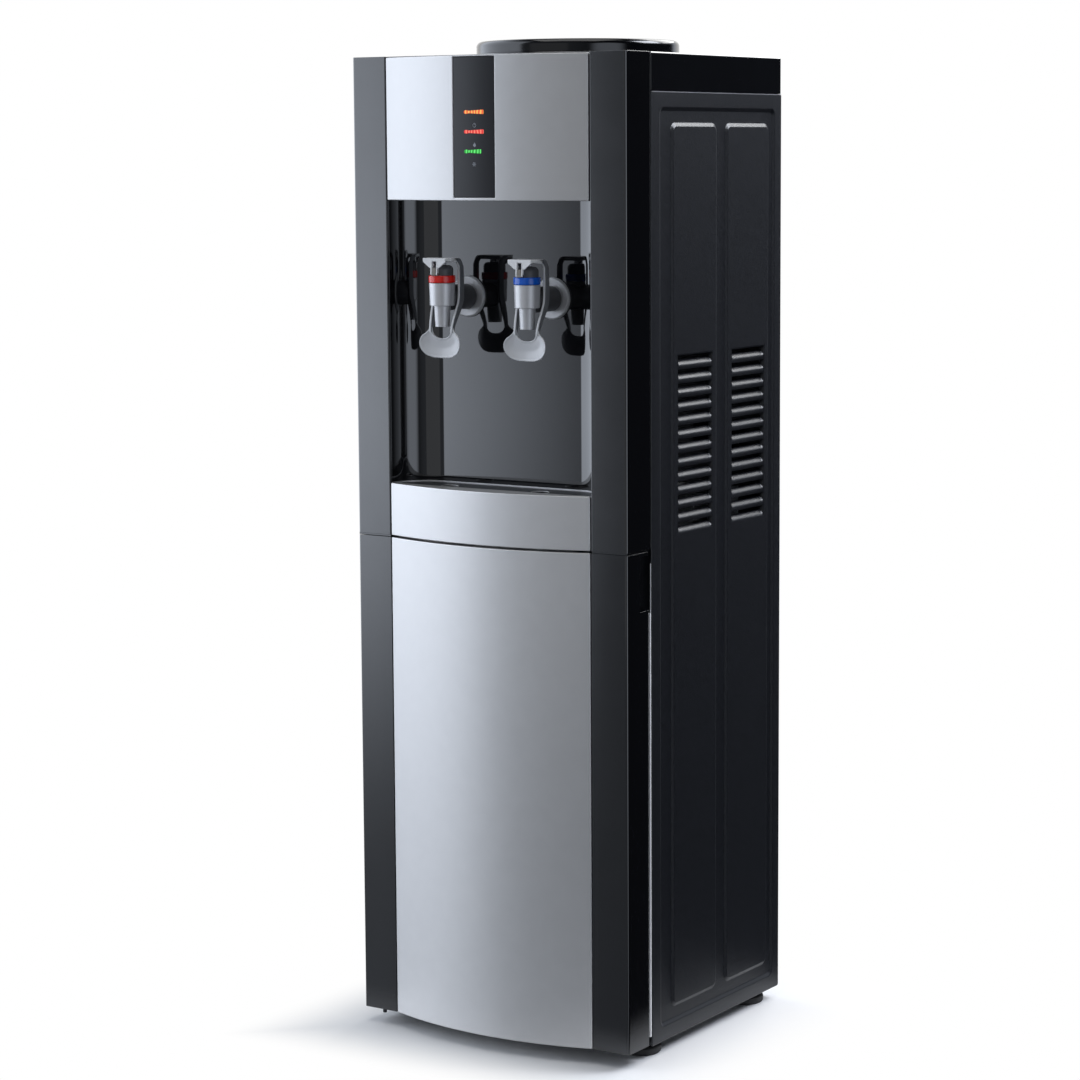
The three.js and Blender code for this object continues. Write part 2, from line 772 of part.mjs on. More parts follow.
// A light bar's outline: narrow at its left end and full height at its right.
function lightOutline(z, grow) {
  const left = -light.length / 2 - grow;
  const right = light.length / 2 + grow;
  const small = light.tip / 2 + grow;
  const large = light.height / 2 + grow;
  return [
    [left, z - small / 2],
    [left + small, z - small],
    [right - small, z - large],
    [right, z - large + small],
    [right, z + large - small],
    [right - small, z + large],
    [left + small, z + small],
    [left, z + small / 2],
  ];
}

function controlStrip() {
  const half = strip.width / 2 - seat;
  const face = bowLine(half, strip.sunk);
  const back = bowLine(half, strip.sunk + strip.thickness).reverse();
  const plate = prism([...face, ...back], stripZ[0] + seat, stripZ[1] - seat);
  const slots = lightZs.map((z) =>
    prism(lightOutline(z, seat), frontY - overrun, frontY + shell + overrun, "y"),
  );
  return cut(plate, ...slots);
}

function lightBar(z) {
  const front = frontY + strip.sunk;
  return prism(lightOutline(z, 0), front, front + light.depth, "y");
}

add("control_fascia", controlFascia(), silverPaint);
add("control_strip", controlStrip(), glossBlack);
add("led_power", lightBar(lightZs[0]), orangeLight);
add("led_hot", lightBar(lightZs[1]), redLight);
add("led_cold", lightBar(lightZs[2]), greenLight);
add("tray_fascia", bowedCap(trayFasciaZ, recessZ, true, false), silverPaint);

// Drip tray and the plate on it, which drains through two holes.
const dripTray = { wall: 1.8, corner: 30 };
const plateHole = { radius: 6.75, x: 52, y: 10 };

function dripPan() {
  const { chord } = bowedPlate(trayZ, trayZ + ledge.tray, 0);
  const outline = (inset) => {
    const x = chord - inset;
    const y = recessBackY - seat - inset;
    const radius = dripTray.corner - inset;
    return [
      ...bowLine(x, shell + seat + inset),
      ...arc([x - radius, y - radius], radius, 0, 0.25, cornerSteps),
      ...arc([radius - x, y - radius], radius, 0.25, 0.5, cornerSteps),
    ];
  };
  return cut(
    prism(outline(0), trayZ, trayZ + ledge.tray),
    prism(outline(dripTray.wall), trayZ + dripTray.wall, trayZ + ledge.tray + overrun),
  );
}

function dripPlate() {
  const { front, back } = bowedPlate(plateZ, plateZ + ledge.plate, -seat);
  const holes = [-plateHole.x, plateHole.x].map((x) =>
    bar(
      plateHole.radius,
      -overrun,
      ledge.plate + overrun,
      [x, pillarY + plateHole.y, plateZ],
      hiddenSides,
    ),
  );
  return cut(join(front, back), ...holes);
}

add("drip_tray", dripPan(), darkPlastic);
add("drip_plate", dripPlate(), trayGrey);

// Cupboard liner behind the door.
const cupboard = { wall: 2.5, back: 14, floor: 2, head: 10, rimSide: 11 };
const cupboardX = panelX - panel.flange - seat;
const cupboardZ = [rearZ, deckZ - seat];
const cupboardBackY = rearPlateY[0] - cupboard.back;

function cupboardLiner() {
  const z0 = cupboardZ[0] + cupboard.floor;
  const z1 = cupboardZ[1] - cupboard.head;
  const rim = block(
    [-cupboardX - cupboard.rimSide, cupboardX + cupboard.rimSide],
    [insideY, insideY + cupboard.wall],
    cupboardZ,
  );
  const outer = block([-cupboardX, cupboardX], [insideY, cupboardBackY], [z0, z1]);
  const inner = block(
    [-cupboardX + cupboard.wall, cupboardX - cupboard.wall],
    [insideY - overrun, cupboardBackY - cupboard.wall],
    [z0 + cupboard.wall, z1 - cupboard.wall],
  );
  return cut(join(rim, outer), inner);
}

add("cabinet_liner", cupboardLiner(), greyPlastic);

// Steel deck over the cupboard, and the shelf that carries the cold tank.
const deck = { flange: 12 };
const tankShelf = { front: 91 };
const tankShelfZ = coldZ - cold.foamBottom - seat - sheet;

function flangedDeck(front, z) {
  const y = [front, rearPlateY[0] - seat];
  const room = block(
    [-insideX + sheet, insideX - sheet],
    [y[0] - overrun, y[1] + overrun],
    [z + sheet, z + deck.flange + overrun],
  );
  return cut(block([-insideX, insideX], y, [z, z + deck.flange]), room);
}

add("mid_deck", flangedDeck(insideY, deckZ), zincSteel);

// Cold tank in its foam jacket, with an outlet for the tap and one that feeds the hot tank.
const neck = { radius: 4.2, bore: 3, length: 30 };
const pipe = { inner: 4.9, outer: 6.8 };
const outletShares = { coldX: 0.46, coldY: -0.55, feedX: 0.23, feedY: 0.34, hotX: -0.48, hotY: -0.36 };
const coldOutlet = [coldRadius * outletShares.coldX, bottleY + coldRadius * outletShares.coldY];
const feedOutlet = [coldRadius * outletShares.feedX, bottleY + coldRadius * outletShares.feedY];
const coldNecks = [coldOutlet, feedOutlet];

function coldTank() {
  const { height, wall } = cold;
  const mouth = funnel.throat + cold.mouthRoom;
  const profile = [
    [0, 0],
    [coldRadius, 0],
    [coldRadius, height],
    [mouth, height],
    [mouth, height - wall],
    [coldRadius - wall, height - wall],
    [coldRadius - wall, wall],
    [0, wall],
  ];
  const vessel = turned(profile, [0, bottleY, coldZ], hiddenSides);
  const necks = coldNecks.map(([x, y]) =>
    bar(neck.radius, -neck.length, wall / 2, [x, y, coldZ], smallSides),
  );
  const bores = coldNecks.map(([x, y]) =>
    bar(neck.bore, -neck.length - overrun, wall + overrun, [x, y, coldZ], smallSides),
  );
  return cut(join(vessel, ...necks), ...bores);
}

function coldInsulation() {
  const low = -cold.foamBottom;
  const inner = coldRadius + seat;
  const profile = [
    [0, low],
    [jacketRadius, low],
    [jacketRadius, cold.height],
    [inner, cold.height],
    [inner, -seat],
    [0, -seat],
  ];
  const jacket = turned(profile, [0, bottleY, coldZ], hiddenSides);
  const half = cooling.size / 2 + seat;
  const notch = block(
    [-half, half],
    [bottleY, bottleY + jacketRadius + overrun],
    [coolingZ - half, coolingZ + half],
  );
  const holes = coldNecks.map(([x, y]) =>
    bar(neck.radius + seat, low - overrun, overrun, [x, y, coldZ], smallSides),
  );
  const sinkRoom = block(
    [-sink.size, sink.size],
    [sinkY - seat, backY],
    [coldZ + low - overrun, coldTopZ + overrun],
  );
  return cut(jacket, notch, sinkRoom, ...holes);
}

function coldShelf() {
  const holes = coldNecks.map(([x, y]) =>
    bar(pipe.outer + seat, -overrun, sheet + overrun, [x, y, tankShelfZ], hiddenSides),
  );
  return cut(flangedDeck(pillarY + tankShelf.front, tankShelfZ), ...holes);
}

add("cold_tank", coldTank(), stainless);
add("cold_insulation", coldInsulation(), foam);
add("tank_shelf", coldShelf(), zincSteel);

function coolingModule() {
  const half = cooling.size / 2;
  const core = block([-half, half], [bottleY, coolingBackY], [coolingZ - half, coolingZ + half]);
  const tank = bar(
    coldRadius + seat,
    coolingZ - cooling.size,
    coolingZ + cooling.size,
    [0, bottleY, 0],
    hiddenSides,
  );
  return cut(core, tank);
}

function heatSink() {
  const half = sink.size / 2;
  const step = (sink.size - sink.fin) / (finCount - 1);
  const channels = Array.from({ length: finCount - 1 }, (_, i) =>
    block(
      [-half + i * step + sink.fin, -half + (i + 1) * step],
      [sinkY + sink.base, sinkBackY + overrun],
      [coolingZ - half - overrun, coolingZ + half + overrun],
    ),
  );
  return cut(block([-half, half], [sinkY, sinkBackY], [coolingZ - half, coolingZ + half]), ...channels);
}

// Fan frame: a square ring with a hub held on arms at its rear face.
function fanFrame() {
  const half = fan.size / 2;
  const place = [0, 0, coolingZ];
  const frame = cut(
    block([-half, half], fanY, [coolingZ - half, coolingZ + half]),
    bar(fan.ring, fanY[0] - overrun, fanY[1] + overrun, place, shownSides, "y"),
  );
  const hub = bar(fan.hub, fanY[1] - fan.hubDepth, fanY[1], place, hiddenSides, "y");
  const reach = fan.ring + overrun;
  const across = block(
    [-reach, reach],
    [fanY[1] - fan.hubDepth, fanY[1]],
    [coolingZ - fan.arm / 2, coolingZ + fan.arm / 2],
  );
  const upright = block(
    [-fan.arm / 2, fan.arm / 2],
    [fanY[1] - fan.hubDepth, fanY[1]],
    [coolingZ - reach, coolingZ + reach],
  );
  const shaftHole = bar(
    fan.shaft + seat,
    fanY[1] - fan.hubDepth - overrun,
    fanY[1] + overrun,
    place,
    smallSides,
    "y",
  );
  return cut(join(frame, hub, across, upright), shaftHole);
}

function fanImpeller() {
  const low = fanY[0] + seat;
  const high = fanY[1] - fan.hubDepth - seat;
  const hub = bar(fan.hub, low, high, [0, 0, 0], hiddenSides, "y");
  const shaft = bar(fan.shaft, low, fanY[1], [0, 0, 0], smallSides, "y");
  const lean = (high - low) / 2;
  const blades = Array.from({ length: fanBladeCount }, (_, i) => {
    const outline = [
      [-lean, high],
      [-lean + fan.blade, high],
      [lean, low],
      [lean - fan.blade, low],
    ];
    const shape = new THREE.Shape(outline.map(([u, v]) => new THREE.Vector2(u, v)));
    const depthOut = fan.tip - fan.hub / 2;
    const blade = new THREE.ExtrudeGeometry(shape, { depth: depthOut, bevelEnabled: false });
    blade.translate(0, 0, fan.hub / 2);
    blade.rotateY((2 * Math.PI * i) / fanBladeCount);
    return solid(blade);
  });
  return join(hub, shaft, ...blades);
}

add("cooling_module", coolingModule(), whitePlastic);
add("heat_sink", heatSink(), alloy);
add("fan_frame", fanFrame(), darkPlastic);
add("fan_impeller", fanImpeller(), blackRubber).position.z = coolingZ;

// Hot tank with its heater band, standing on the deck.
const hot = { radius: 50, height: 128, wall: 1, neck: 14 };
const band = { low: 36, high: 80, thickness: 1.8, blockWidth: 22, blockDepth: 9 };
const hotZ = deckZ + sheet + seat;
const hotTopZ = hotZ + hot.height;
const hotOutlet = [hot.radius * outletShares.hotX, bottleY + hot.radius * outletShares.hotY];

function hotTank() {
  const { radius, height, wall } = hot;
  const place = [0, bottleY, hotZ];
  const vessel = bar(radius, 0, height, place, hiddenSides);
  const inside = bar(radius - wall, wall, height - wall, place, hiddenSides);
  const topNecks = [hotOutlet, feedOutlet];
  const drainStart = bottleY + radius - drain.inset;
  const drainEnd = rearPlateY[1] + drain.end;
  const drainPlace = [0, 0, drainZ];
  const drainPipe = bar(drain.outer, drainStart, drainEnd, drainPlace, hiddenSides, "y");
  const drainBore = bar(drain.inner, drainStart - overrun, drainEnd + overrun, drainPlace, hiddenSides, "y");
  const necks = topNecks.map(([x, y]) =>
    bar(neck.radius, height - wall / 2, height + hot.neck, [x, y, hotZ], smallSides),
  );
  const bores = topNecks.map(([x, y]) =>
    bar(neck.bore, height - wall - overrun, height + hot.neck + overrun, [x, y, hotZ], smallSides),
  );
  return cut(join(vessel, ...necks, drainPipe), inside, drainBore, ...bores);
}

function heaterBand() {
  const place = [0, bottleY, hotZ];
  const inner = hot.radius + seat;
  const ring = tube(inner, inner + band.thickness, band.low, band.high, place, hiddenSides);
  const terminal = block(
    [-inner - band.blockDepth, -inner + band.thickness / 2],
    [bottleY - band.blockWidth / 2, bottleY + band.blockWidth / 2],
    [hotZ + band.low, hotZ + band.high],
  );
  const tank = bar(inner, band.low - overrun, band.high + overrun, place, hiddenSides);
  return cut(join(ring, terminal), tank);
}

add("hot_tank", hotTank(), stainless);
add("heater_band", heaterBand(), zincSteel);

// Water hoses. The tap hoses leave the tap tails, turn down and run to their tanks.
const bend = { straight: 1, radius: 12, low: 40, rise: 14 };

// The places along a hose from its tap, down in front of the cold tank, then half way to its outlet.
const bendY = tailEndY + bend.straight + bend.radius;
function hoseDown(tapX, [x, y], z) {
  const turn = arc([bendY - bend.radius, tapStubZ - bend.radius], bend.radius, 0.25, 0, turnSteps);
  return [
    [tapX, tailY + seat, tapStubZ],
    [tapX, tailEndY, tapStubZ],
    ...turn.map(([v, w]) => [tapX, v, w]),
    [tapX, bendY, z + bend.radius],
    [(tapX + x) / 2, (bendY + y) / 2, z],
  ];
}

function coldHose() {
  const [x, y] = coldOutlet;
  const neckEndZ = coldZ - neck.length;
  const places = [
    ...hoseDown(tapXs[1], coldOutlet, tankShelfZ - bend.low),
    [x, y, neckEndZ - bend.rise],
    [x, y, neckEndZ],
    [x, y, tankShelfZ],
  ];
  return hose(pipe.inner, pipe.outer, places);
}

function hotHose() {
  const [x, y] = hotOutlet;
  const neckEndZ = hotTopZ + hot.neck;
  const places = [
    ...hoseDown(tapXs[0], hotOutlet, (tankShelfZ + neckEndZ) / 2),
    [x, y, neckEndZ + bend.rise],
    [x, y, neckEndZ],
    [x, y, hotTopZ + seat],
  ];
  return hose(pipe.inner, pipe.outer, places);
}

function feedHose() {
  const [x, y] = feedOutlet;
  return tube(pipe.inner, pipe.outer, hotTopZ + seat, tankShelfZ, [x, y, 0], hiddenSides);
}

const cap = { wall: 2, ribCount: 8 };

function drainCap() {
  const inner = drain.outer + seat;
  const mouth = rearPlateY[1] + seat;
  const end = rearPlateY[1] + drain.end + seat;
  const body = bar(inner + cap.wall, mouth, end + cap.wall, [0, 0, 0], hiddenSides, "y");
  const hollow = bar(inner, mouth - overrun, end, [0, 0, 0], hiddenSides, "y");
  const ribs = Array.from({ length: cap.ribCount }, (_, i) => {
    const rib = new THREE.BoxGeometry(cap.wall, end + cap.wall - mouth, cap.wall);
    rib.translate(inner + cap.wall, (mouth + end + cap.wall) / 2, 0);
    return solid(rib.rotateY((2 * Math.PI * i) / cap.ribCount));
  });
  return cut(join(body, ...ribs), hollow);
}

add("cold_hose", coldHose(), clearHose);
add("hot_hose", hotHose(), clearHose);
add("feed_hose", feedHose(), clearHose);
add("drain_cap", drainCap(), darkPlastic).position.z = drainZ;

// Power supply box on the deck.
const supply = { tankRoom: 22, side: 12.5, rear: 41, depth: 88, height: 46, wall: 1.5, slot: 8 };

function powerSupply() {
  const x = [hot.radius + supply.tankRoom, insideX - supply.side];
  const y = [rearPlateY[0] - supply.rear - supply.depth, rearPlateY[0] - supply.rear];
  const z = [deckZ + sheet + seat, deckZ + sheet + seat + supply.height];
  const w = supply.wall;
  const inside = block([x[0] + w, x[1] - w], [y[0] + w, y[1] - w], [z[0] + w, z[1] - w]);
  const outlet = block(
    [x[0] + supply.slot, x[1] - supply.slot],
    [y[1] - w - overrun, y[1] + overrun],
    [z[0] + supply.slot, z[0] + 2 * supply.slot],
  );
  return cut(block(x, y, z), inside, outlet);
}

add("power_supply", powerSupply(), zincSteel);

// Cupboard door: black frame, bowed silver skin in front, pale liner behind.
const grip = { width: 12, depth: 15, height: 51.9, drop: 3.5 };
const doorBack = { thickness: 5.2, side: 5, bottom: 2.7, top: 6, notch: 15 };
const gripZ = [doorTopZ - grip.drop - grip.height, doorTopZ - grip.drop];

// Both stiles' outline seen from above, rounded at the outer front edges.
function doorOutline() {
  const right = arc([halfWidth - pillar.round, pillarY + pillar.round], pillar.round, 0.75, 1, 3);
  const left = arc([pillar.round - halfWidth, pillarY + pillar.round], pillar.round, 0.5, 0.75, 3);
  return [...left, ...right, [halfWidth, doorBackY], [-halfWidth, doorBackY]];
}

function doorFrame() {
  const outer = prism(doorOutline(), doorZ, doorTopZ);
  const hollow = block(
    [-halfWidth + shell, halfWidth - shell],
    [pillarY + shell, doorBackY + overrun],
    [doorZ + shell, doorTopZ - shell],
  );
  const window = block(
    [-innerX, innerX],
    [pillarY - overrun, carrierY],
    [doorZ - overrun, doorTopZ + overrun],
  );
  const middle = block([-linerX, linerX], [carrierY, carrierY + shell], [doorZ, doorTopZ]);
  const gripShell = block(
    [halfWidth - grip.width - shell, halfWidth - shell / 2],
    [doorBackY - grip.depth - shell, doorBackY],
    [gripZ[0] - shell, gripZ[1] + shell],
  );
  const gripRoom = block(
    [halfWidth - grip.width, halfWidth + overrun],
    [doorBackY - grip.depth, doorBackY + overrun],
    gripZ,
  );
  const boss = bar(hinge.boss, 0, hinge.depth + shell, [...hingePlace, doorZ], hiddenSides);
  const socket = bar(
    hinge.pin + seat,
    -overrun,
    hinge.depth,
    [...hingePlace, doorZ],
    hiddenSides,
  );
  const pin = bar(
    hinge.pin,
    -shell / 2,
    panelSeam + shell + hinge.pin,
    [...hingePlace, doorTopZ],
    hiddenSides,
  );
  return cut(join(cut(outer, hollow, window), middle, gripShell, boss, pin), gripRoom, socket);
}

function doorLiner() {
  const x = halfWidth - doorBack.side;
  const y = [doorBackY + seat, doorBackY + seat + doorBack.thickness];
  const plate = block([-x, x], y, [doorZ + doorBack.bottom, doorTopZ - doorBack.top]);
  const notch = block(
    [halfWidth - doorBack.notch, halfWidth],
    [y[0] - overrun, y[1] + overrun],
    [gripZ[0] - shell, doorTopZ],
  );
  return cut(plate, notch);
}

add("door_frame", doorFrame(), satinBlack);
add("door_skin", bowedCap(doorZ, doorTopZ, true, true), silverPaint);
add("door_liner", doorLiner(), greyPlastic);

// Lower hinge bracket: a plate under the base, with the pin that the door turns on.
function hingeBracket() {
  const [x, y] = hingePlace;
  const high = footHeight - seat;
  const plate = block(
    [-panelInnerX + seat, -panelInnerX + hinge.span],
    [y - hinge.boss, panelY + hinge.tail],
    [high - hinge.plate, high],
  );
  const pin = bar(hinge.pin, hinge.tip, doorZ + hinge.depth - 2 * seat, [x, y, 0], hiddenSides);
  return join(plate, pin);
}

add("hinge_bracket", hingeBracket(), charcoalSteel);

// Taps. Each piece is made about the tap's own upright axis, and its group is then put in place.
const wallBack = recessBackY - tapY;
const paddle = { halfWidth: 22, top: -17.5, foot: -46.4, front: -5.4, rear: -3, rim: 1.6, dish: 1 };
const lever = { front: -13, rear: 6, halfFront: 13, halfRear: 15.75, low: 41, high: 45, arm: 2.5 };
const gusset = { depth: 1.6, low: 36 };
const pivot = { y: -12.4, z: 30.4, radius: 1, post: 1.4, postX: 2.5, postWidth: 1.5, tongueTop: 36 };
const stem = { width: 4, depth: 9, foot: 26, wall: 0.6, head: 1.2 };
const lift = { radius: 0.9, rise: 1.5, ear: 1.2, earWidth: 1.2, room: 0.8, sweep: 4 };
const bonnetRadius = tap.ringRadius - tap.ringWall - seat;
const ringTop = tap.height + seat + tap.ringHeight;
const bonnetTop = ringTop + tap.bonnetRise;
const liftZ = bonnetTop + lift.rise;
const stemTop = liftZ + lift.radius + seat + stem.head;
const axisFoot = [0, 0, 0];

function tapSleeve() {
  const profile = [
    [0, tap.boreTop],
    [tap.bore, tap.boreTop],
    [tap.bore, -tap.nozzle],
    [tap.nozzleFoot, -tap.nozzle],
    [tap.nozzleTop, 0],
    [tap.footRadius, 0],
    [tap.topRadius, tap.height],
    [0, tap.height],
  ];
  const feed = bar(neck.bore, 0, tap.topRadius + overrun, [0, 0, tap.stubRise], smallSides, "y");
  return cut(turned(profile, axisFoot, shownSides), feed);
}

// The dark collar behind the sleeve, running on through the wall to a tail for the hose.
function tapShank() {
  const wallFront = wallBack - tap.flangeDepth - 2 * seat;
  const shankEnd = wallBack + shell + seat + shank.clamp + shank.past;
  const profile = [
    [neck.bore, 0],
    [shank.collar, 0],
    [shank.collar, wallFront],
    [shank.radius, wallFront],
    [shank.radius, shankEnd],
    [neck.radius, shankEnd],
    [neck.radius, shankEnd + shank.tail],
    [neck.bore, shankEnd + shank.tail],
    [neck.bore, 0],
  ];
  const body = turned(profile, [0, 0, tap.stubRise], hiddenSides, "y");
  const sleeveRoom = bar(tap.topRadius + seat, -tap.height, 2 * tap.height, axisFoot, shownSides);
  const frontHalf = block(
    [-tap.flangeRadius, tap.flangeRadius],
    [-overrun, tap.footRadius / 2],
    [-tap.height, 2 * tap.height],
  );
  return cut(body, sleeveRoom, frontHalf);
}

function tapFlange() {
  const low = wallBack - seat - tap.flangeDepth;
  const place = [0, 0, tap.stubRise];
  return tube(shank.radius + seat, tap.flangeRadius, low, low + tap.flangeDepth, place, shownSides, "y");
}

function tapRing() {
  const inner = tap.ringRadius - tap.ringWall;
  return tube(inner, tap.ringRadius, tap.height + seat, ringTop, axisFoot, shownSides);
}

// The bonnet holds the stem, and its tongue holds the lever's pivot.
function tapBonnet() {
  const profile = [
    [0, tap.height + seat],
    [bonnetRadius, tap.height + seat],
    [bonnetRadius, bonnetTop - tap.bonnetRound],
    [bonnetRadius - tap.bonnetRound, bonnetTop],
    [0, bonnetTop],
  ];
  const side = pivot.postX - seat;
  const tongue = block([-side, side], [pivot.y - pivot.post, 0], [ringTop + seat, pivot.tongueTop]);
  const room = block(
    [-stem.width / 2 - seat, stem.width / 2 + seat],
    [-stem.depth / 2 - seat, stem.depth / 2 + seat],
    [stem.foot - seat, bonnetTop + overrun],
  );
  const axle = [0, pivot.y, pivot.z];
  const pinHole = bar(pivot.radius + seat, -bonnetRadius, bonnetRadius, axle, smallSides, "x");
  return cut(join(turned(profile, axisFoot, hiddenSides), tongue), room, pinHole);
}

// The stem is a blade with a slot, lifted by the lever's small pin.
function tapStem() {
  const half = stem.depth / 2;
  const blade = block([-stem.width / 2, stem.width / 2], [-half, half], [stem.foot, stemTop]);
  const slotRoom = block(
    [-stem.width, stem.width],
    [stem.wall - half, half - stem.wall],
    [liftZ - lift.radius - seat, liftZ + lift.radius + seat],
  );
  return cut(blade, slotRoom);
}

// The right arm's levels from foot to head: inner face, front edge, rear edge and height.
const armLevels = [
  [9.6, -5.4, -1, -22],
  [10.2, -4.6, 1, -17],
  [11.6, -1, 6, -9],
  [12.9, 3, 11, -2.4],
  [13.25, 6, 14, 9],
  [13.25, 6.5, 14, 34],
  [13.25, 5.5, 12.5, 39],
  [13.25, 1, 10, 43],
  [13.25, -2, 7, 45],
];

// The right half of the paddle's outline, from the middle of its foot round to its notch.
const paddleEdge = [
  [13, paddle.foot],
  [18, -44.6],
  [21, -40.5],
  [paddle.halfWidth, -34],
  [21.4, -28.5],
  [18.6, -24],
  [14.4, -21.2],
  [12.7, -19.4],
  [12.4, paddle.top],
  [9.8, paddle.top],
  [9.4, -21.5],
  [8, -24.8],
  [4.5, -26.8],
];

// The dished face's outline, kept inside the paddle's rim.
const dishEdge = [
  [12.4, paddle.foot + paddle.rim],
  [16.9, -43.3],
  [19.6, -39.6],
  [paddle.halfWidth - paddle.rim, -33.8],
  [19.8, -29],
  [17.4, -25.4],
  [13.6, -23],
  [10.4, -25.2],
  [6, -28.3],
];

const bothSides = (edge) => [...edge, ...edge.map(([x, z]) => [-x, z]).reverse()];

function tapLever() {
  const { front, rear, halfFront, halfRear, low, high } = lever;
  const plateEdge = [
    [-halfFront, front],
    [halfFront, front],
    [halfRear, front / 2],
    [halfRear, rear],
    [-halfRear, rear],
    [-halfRear, front / 2],
  ];
  const plate = prism(plateEdge, low, high);
  const gussets = [-1, 1].map((side) => {
    const inner = side * (pivot.postX + pivot.postWidth / 2);
    const outline = [
      [inner, low + lift.room],
      [inner, gusset.low],
      [side * halfFront, low + lift.room / 2],
      [side * halfFront, low + lift.room],
    ];
    return prism(outline, front, front + gusset.depth, "y");
  });
  const posts = [-1, 1].map((side) => {
    const outline = [
      ...arc([pivot.y, pivot.z], pivot.post, 0.5, 1, cornerSteps),
      [pivot.y + pivot.post, low + lift.room],
      [pivot.y - pivot.post, low + lift.room],
    ];
    const inner = side * pivot.postX;
    const [x0, x1] = [inner, inner + side * pivot.postWidth].sort((a, b) => a - b);
    return prism(outline, x0, x1, "x");
  });
  const pivotReach = pivot.postX + pivot.postWidth / 2;
  const pivotPin = bar(pivot.radius, -pivotReach, pivotReach, [0, pivot.y, pivot.z], smallSides, "x");
  const earX = stem.width / 2 + seat;
  const ears = [-1, 1].map((side) => {
    const [x0, x1] = [side * earX, side * (earX + lift.earWidth)].sort((a, b) => a - b);
    return block([x0, x1], [-lift.ear, lift.ear], [liftZ - lift.ear, low + lift.room]);
  });
  const pinReach = earX + lift.earWidth / 2;
  const liftPin = bar(lift.radius, -pinReach, pinReach, [0, 0, liftZ], smallSides, "x");
  const arms = [-1, 1].map((side) =>
    loft(
      armLevels.map(([inner, y0, y1, z]) => [
        [side * inner, side * (inner + lever.arm)].sort((a, b) => a - b),
        [y0, y1],
        z,
      ]),
    ),
  );
  const stemRoom = block(
    [-earX, earX],
    [-stem.depth / 2 - seat, stem.depth / 2 + lift.sweep],
    [low - overrun, stemTop + lift.room],
  );
  const spoon = cut(
    prism(bothSides(paddleEdge), paddle.front, paddle.rear, "y"),
    prism(bothSides(dishEdge), paddle.front - overrun, paddle.front + paddle.dish, "y"),
  );
  const head = cut(join(plate, ...gussets, ...posts), stemRoom);
  return join(head, pivotPin, ...ears, liftPin, ...arms, spoon);
}

// The bar behind the recess wall that holds both taps.
function tapClamp() {
  const reach = tapX + tap.flangeRadius;
  const low = recessBackY + shell + seat;
  const plate = block(
    [-reach, reach],
    [low, low + shank.clamp],
    [tapStubZ - tap.flangeRadius, tapStubZ + tap.flangeRadius],
  );
  const holes = tapXs.map((x) =>
    bar(
      shank.radius + seat,
      low - overrun,
      low + shank.clamp + overrun,
      [x, 0, tapStubZ],
      hiddenSides,
      "y",
    ),
  );
  return cut(plate, ...holes);
}

for (const [i, name] of ["hot", "cold"].entries()) {
  const group = new THREE.Group();
  group.position.set(tapXs[i], tapY, tapPlaceZ);
  cooler.add(group);
  add(`${name}_tap_flange`, tapFlange(), silverPaint, group);
  add(`${name}_tap_shank`, tapShank(), darkPlastic, group);
  add(`${name}_tap_sleeve`, tapSleeve(), silverPaint, group);
  add(`${name}_tap_ring`, tapRing(), i ? bluePlastic : redPlastic, group);
  add(`${name}_tap_bonnet`, tapBonnet(), darkPlastic, group);
  add(`${name}_tap_stem`, tapStem(), stainless, group);
  add(`${name}_tap_lever`, tapLever(), whitePlastic, group);
}
add("tap_clamp", tapClamp(), zincSteel);

export default cooler;
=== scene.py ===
# Looks of the water cooler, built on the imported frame. Sizes are in millimetres; to_object makes them metres.
import json
import math

import bmesh
import bpy
from mathutils import Matrix, Vector


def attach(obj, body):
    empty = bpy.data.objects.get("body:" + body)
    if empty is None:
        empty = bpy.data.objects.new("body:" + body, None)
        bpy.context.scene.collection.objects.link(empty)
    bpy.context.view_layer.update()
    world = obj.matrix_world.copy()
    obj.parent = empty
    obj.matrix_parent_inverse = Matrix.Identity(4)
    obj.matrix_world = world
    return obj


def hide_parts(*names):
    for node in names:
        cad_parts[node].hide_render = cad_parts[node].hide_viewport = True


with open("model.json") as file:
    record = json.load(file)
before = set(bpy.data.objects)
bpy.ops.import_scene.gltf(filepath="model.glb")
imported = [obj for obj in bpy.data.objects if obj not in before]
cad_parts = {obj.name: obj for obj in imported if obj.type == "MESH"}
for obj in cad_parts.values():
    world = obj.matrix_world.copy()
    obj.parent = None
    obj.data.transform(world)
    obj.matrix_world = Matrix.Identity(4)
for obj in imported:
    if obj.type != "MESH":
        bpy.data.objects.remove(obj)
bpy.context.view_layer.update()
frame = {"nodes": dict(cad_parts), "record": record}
NODES = frame["nodes"]
MM = 0.001
WELD, SHARP = 0.002, 40.0

# Sizes shared with the CAD model.
HALF_W, BACK_Y, FRONT_Y, PILLAR_Y = 155.0, 156.25, -156.25, -136.25
INNER_X, FASCIA_X, BOW_R = 115.5, 114.3, 343.5
BOW_CY = FRONT_Y + BOW_R
DOOR_Z, DOOR_TOP, TRAY_Z, RECESS_Z, CTRL_Z = 15.0, 490.0, 492.0, 543.0, 815.7
FRONT_TOP, COVER_TOP, BAND_Z = 950.4, 951.6, 916.1
BEZEL_BACK, RECESS_BACK, PANEL_Y, CARRIER_Y = -94.55, -96.25, -91.35, -133.45
BOTTLE_Y, PLATFORM_Z, COLLAR_Z = 24.15, 954.6, 954.9
TAP_X, TAP_Y, TAP_Z = 48.5, -140.25, 716.4
WALL, SHEET = 2.5, 1.2


# Materials.
def new_material(name):
    """A material with its nodes, its links and its main shader."""
    mat = bpy.data.materials.new(name)
    mat.use_nodes = True
    nodes, links = mat.node_tree.nodes, mat.node_tree.links
    return mat, nodes, links, nodes["Principled BSDF"]


def feed(node, values):
    """Sets a node's inputs from a table of name or number and value."""
    for socket, value in values.items():
        node.inputs[socket].default_value = value


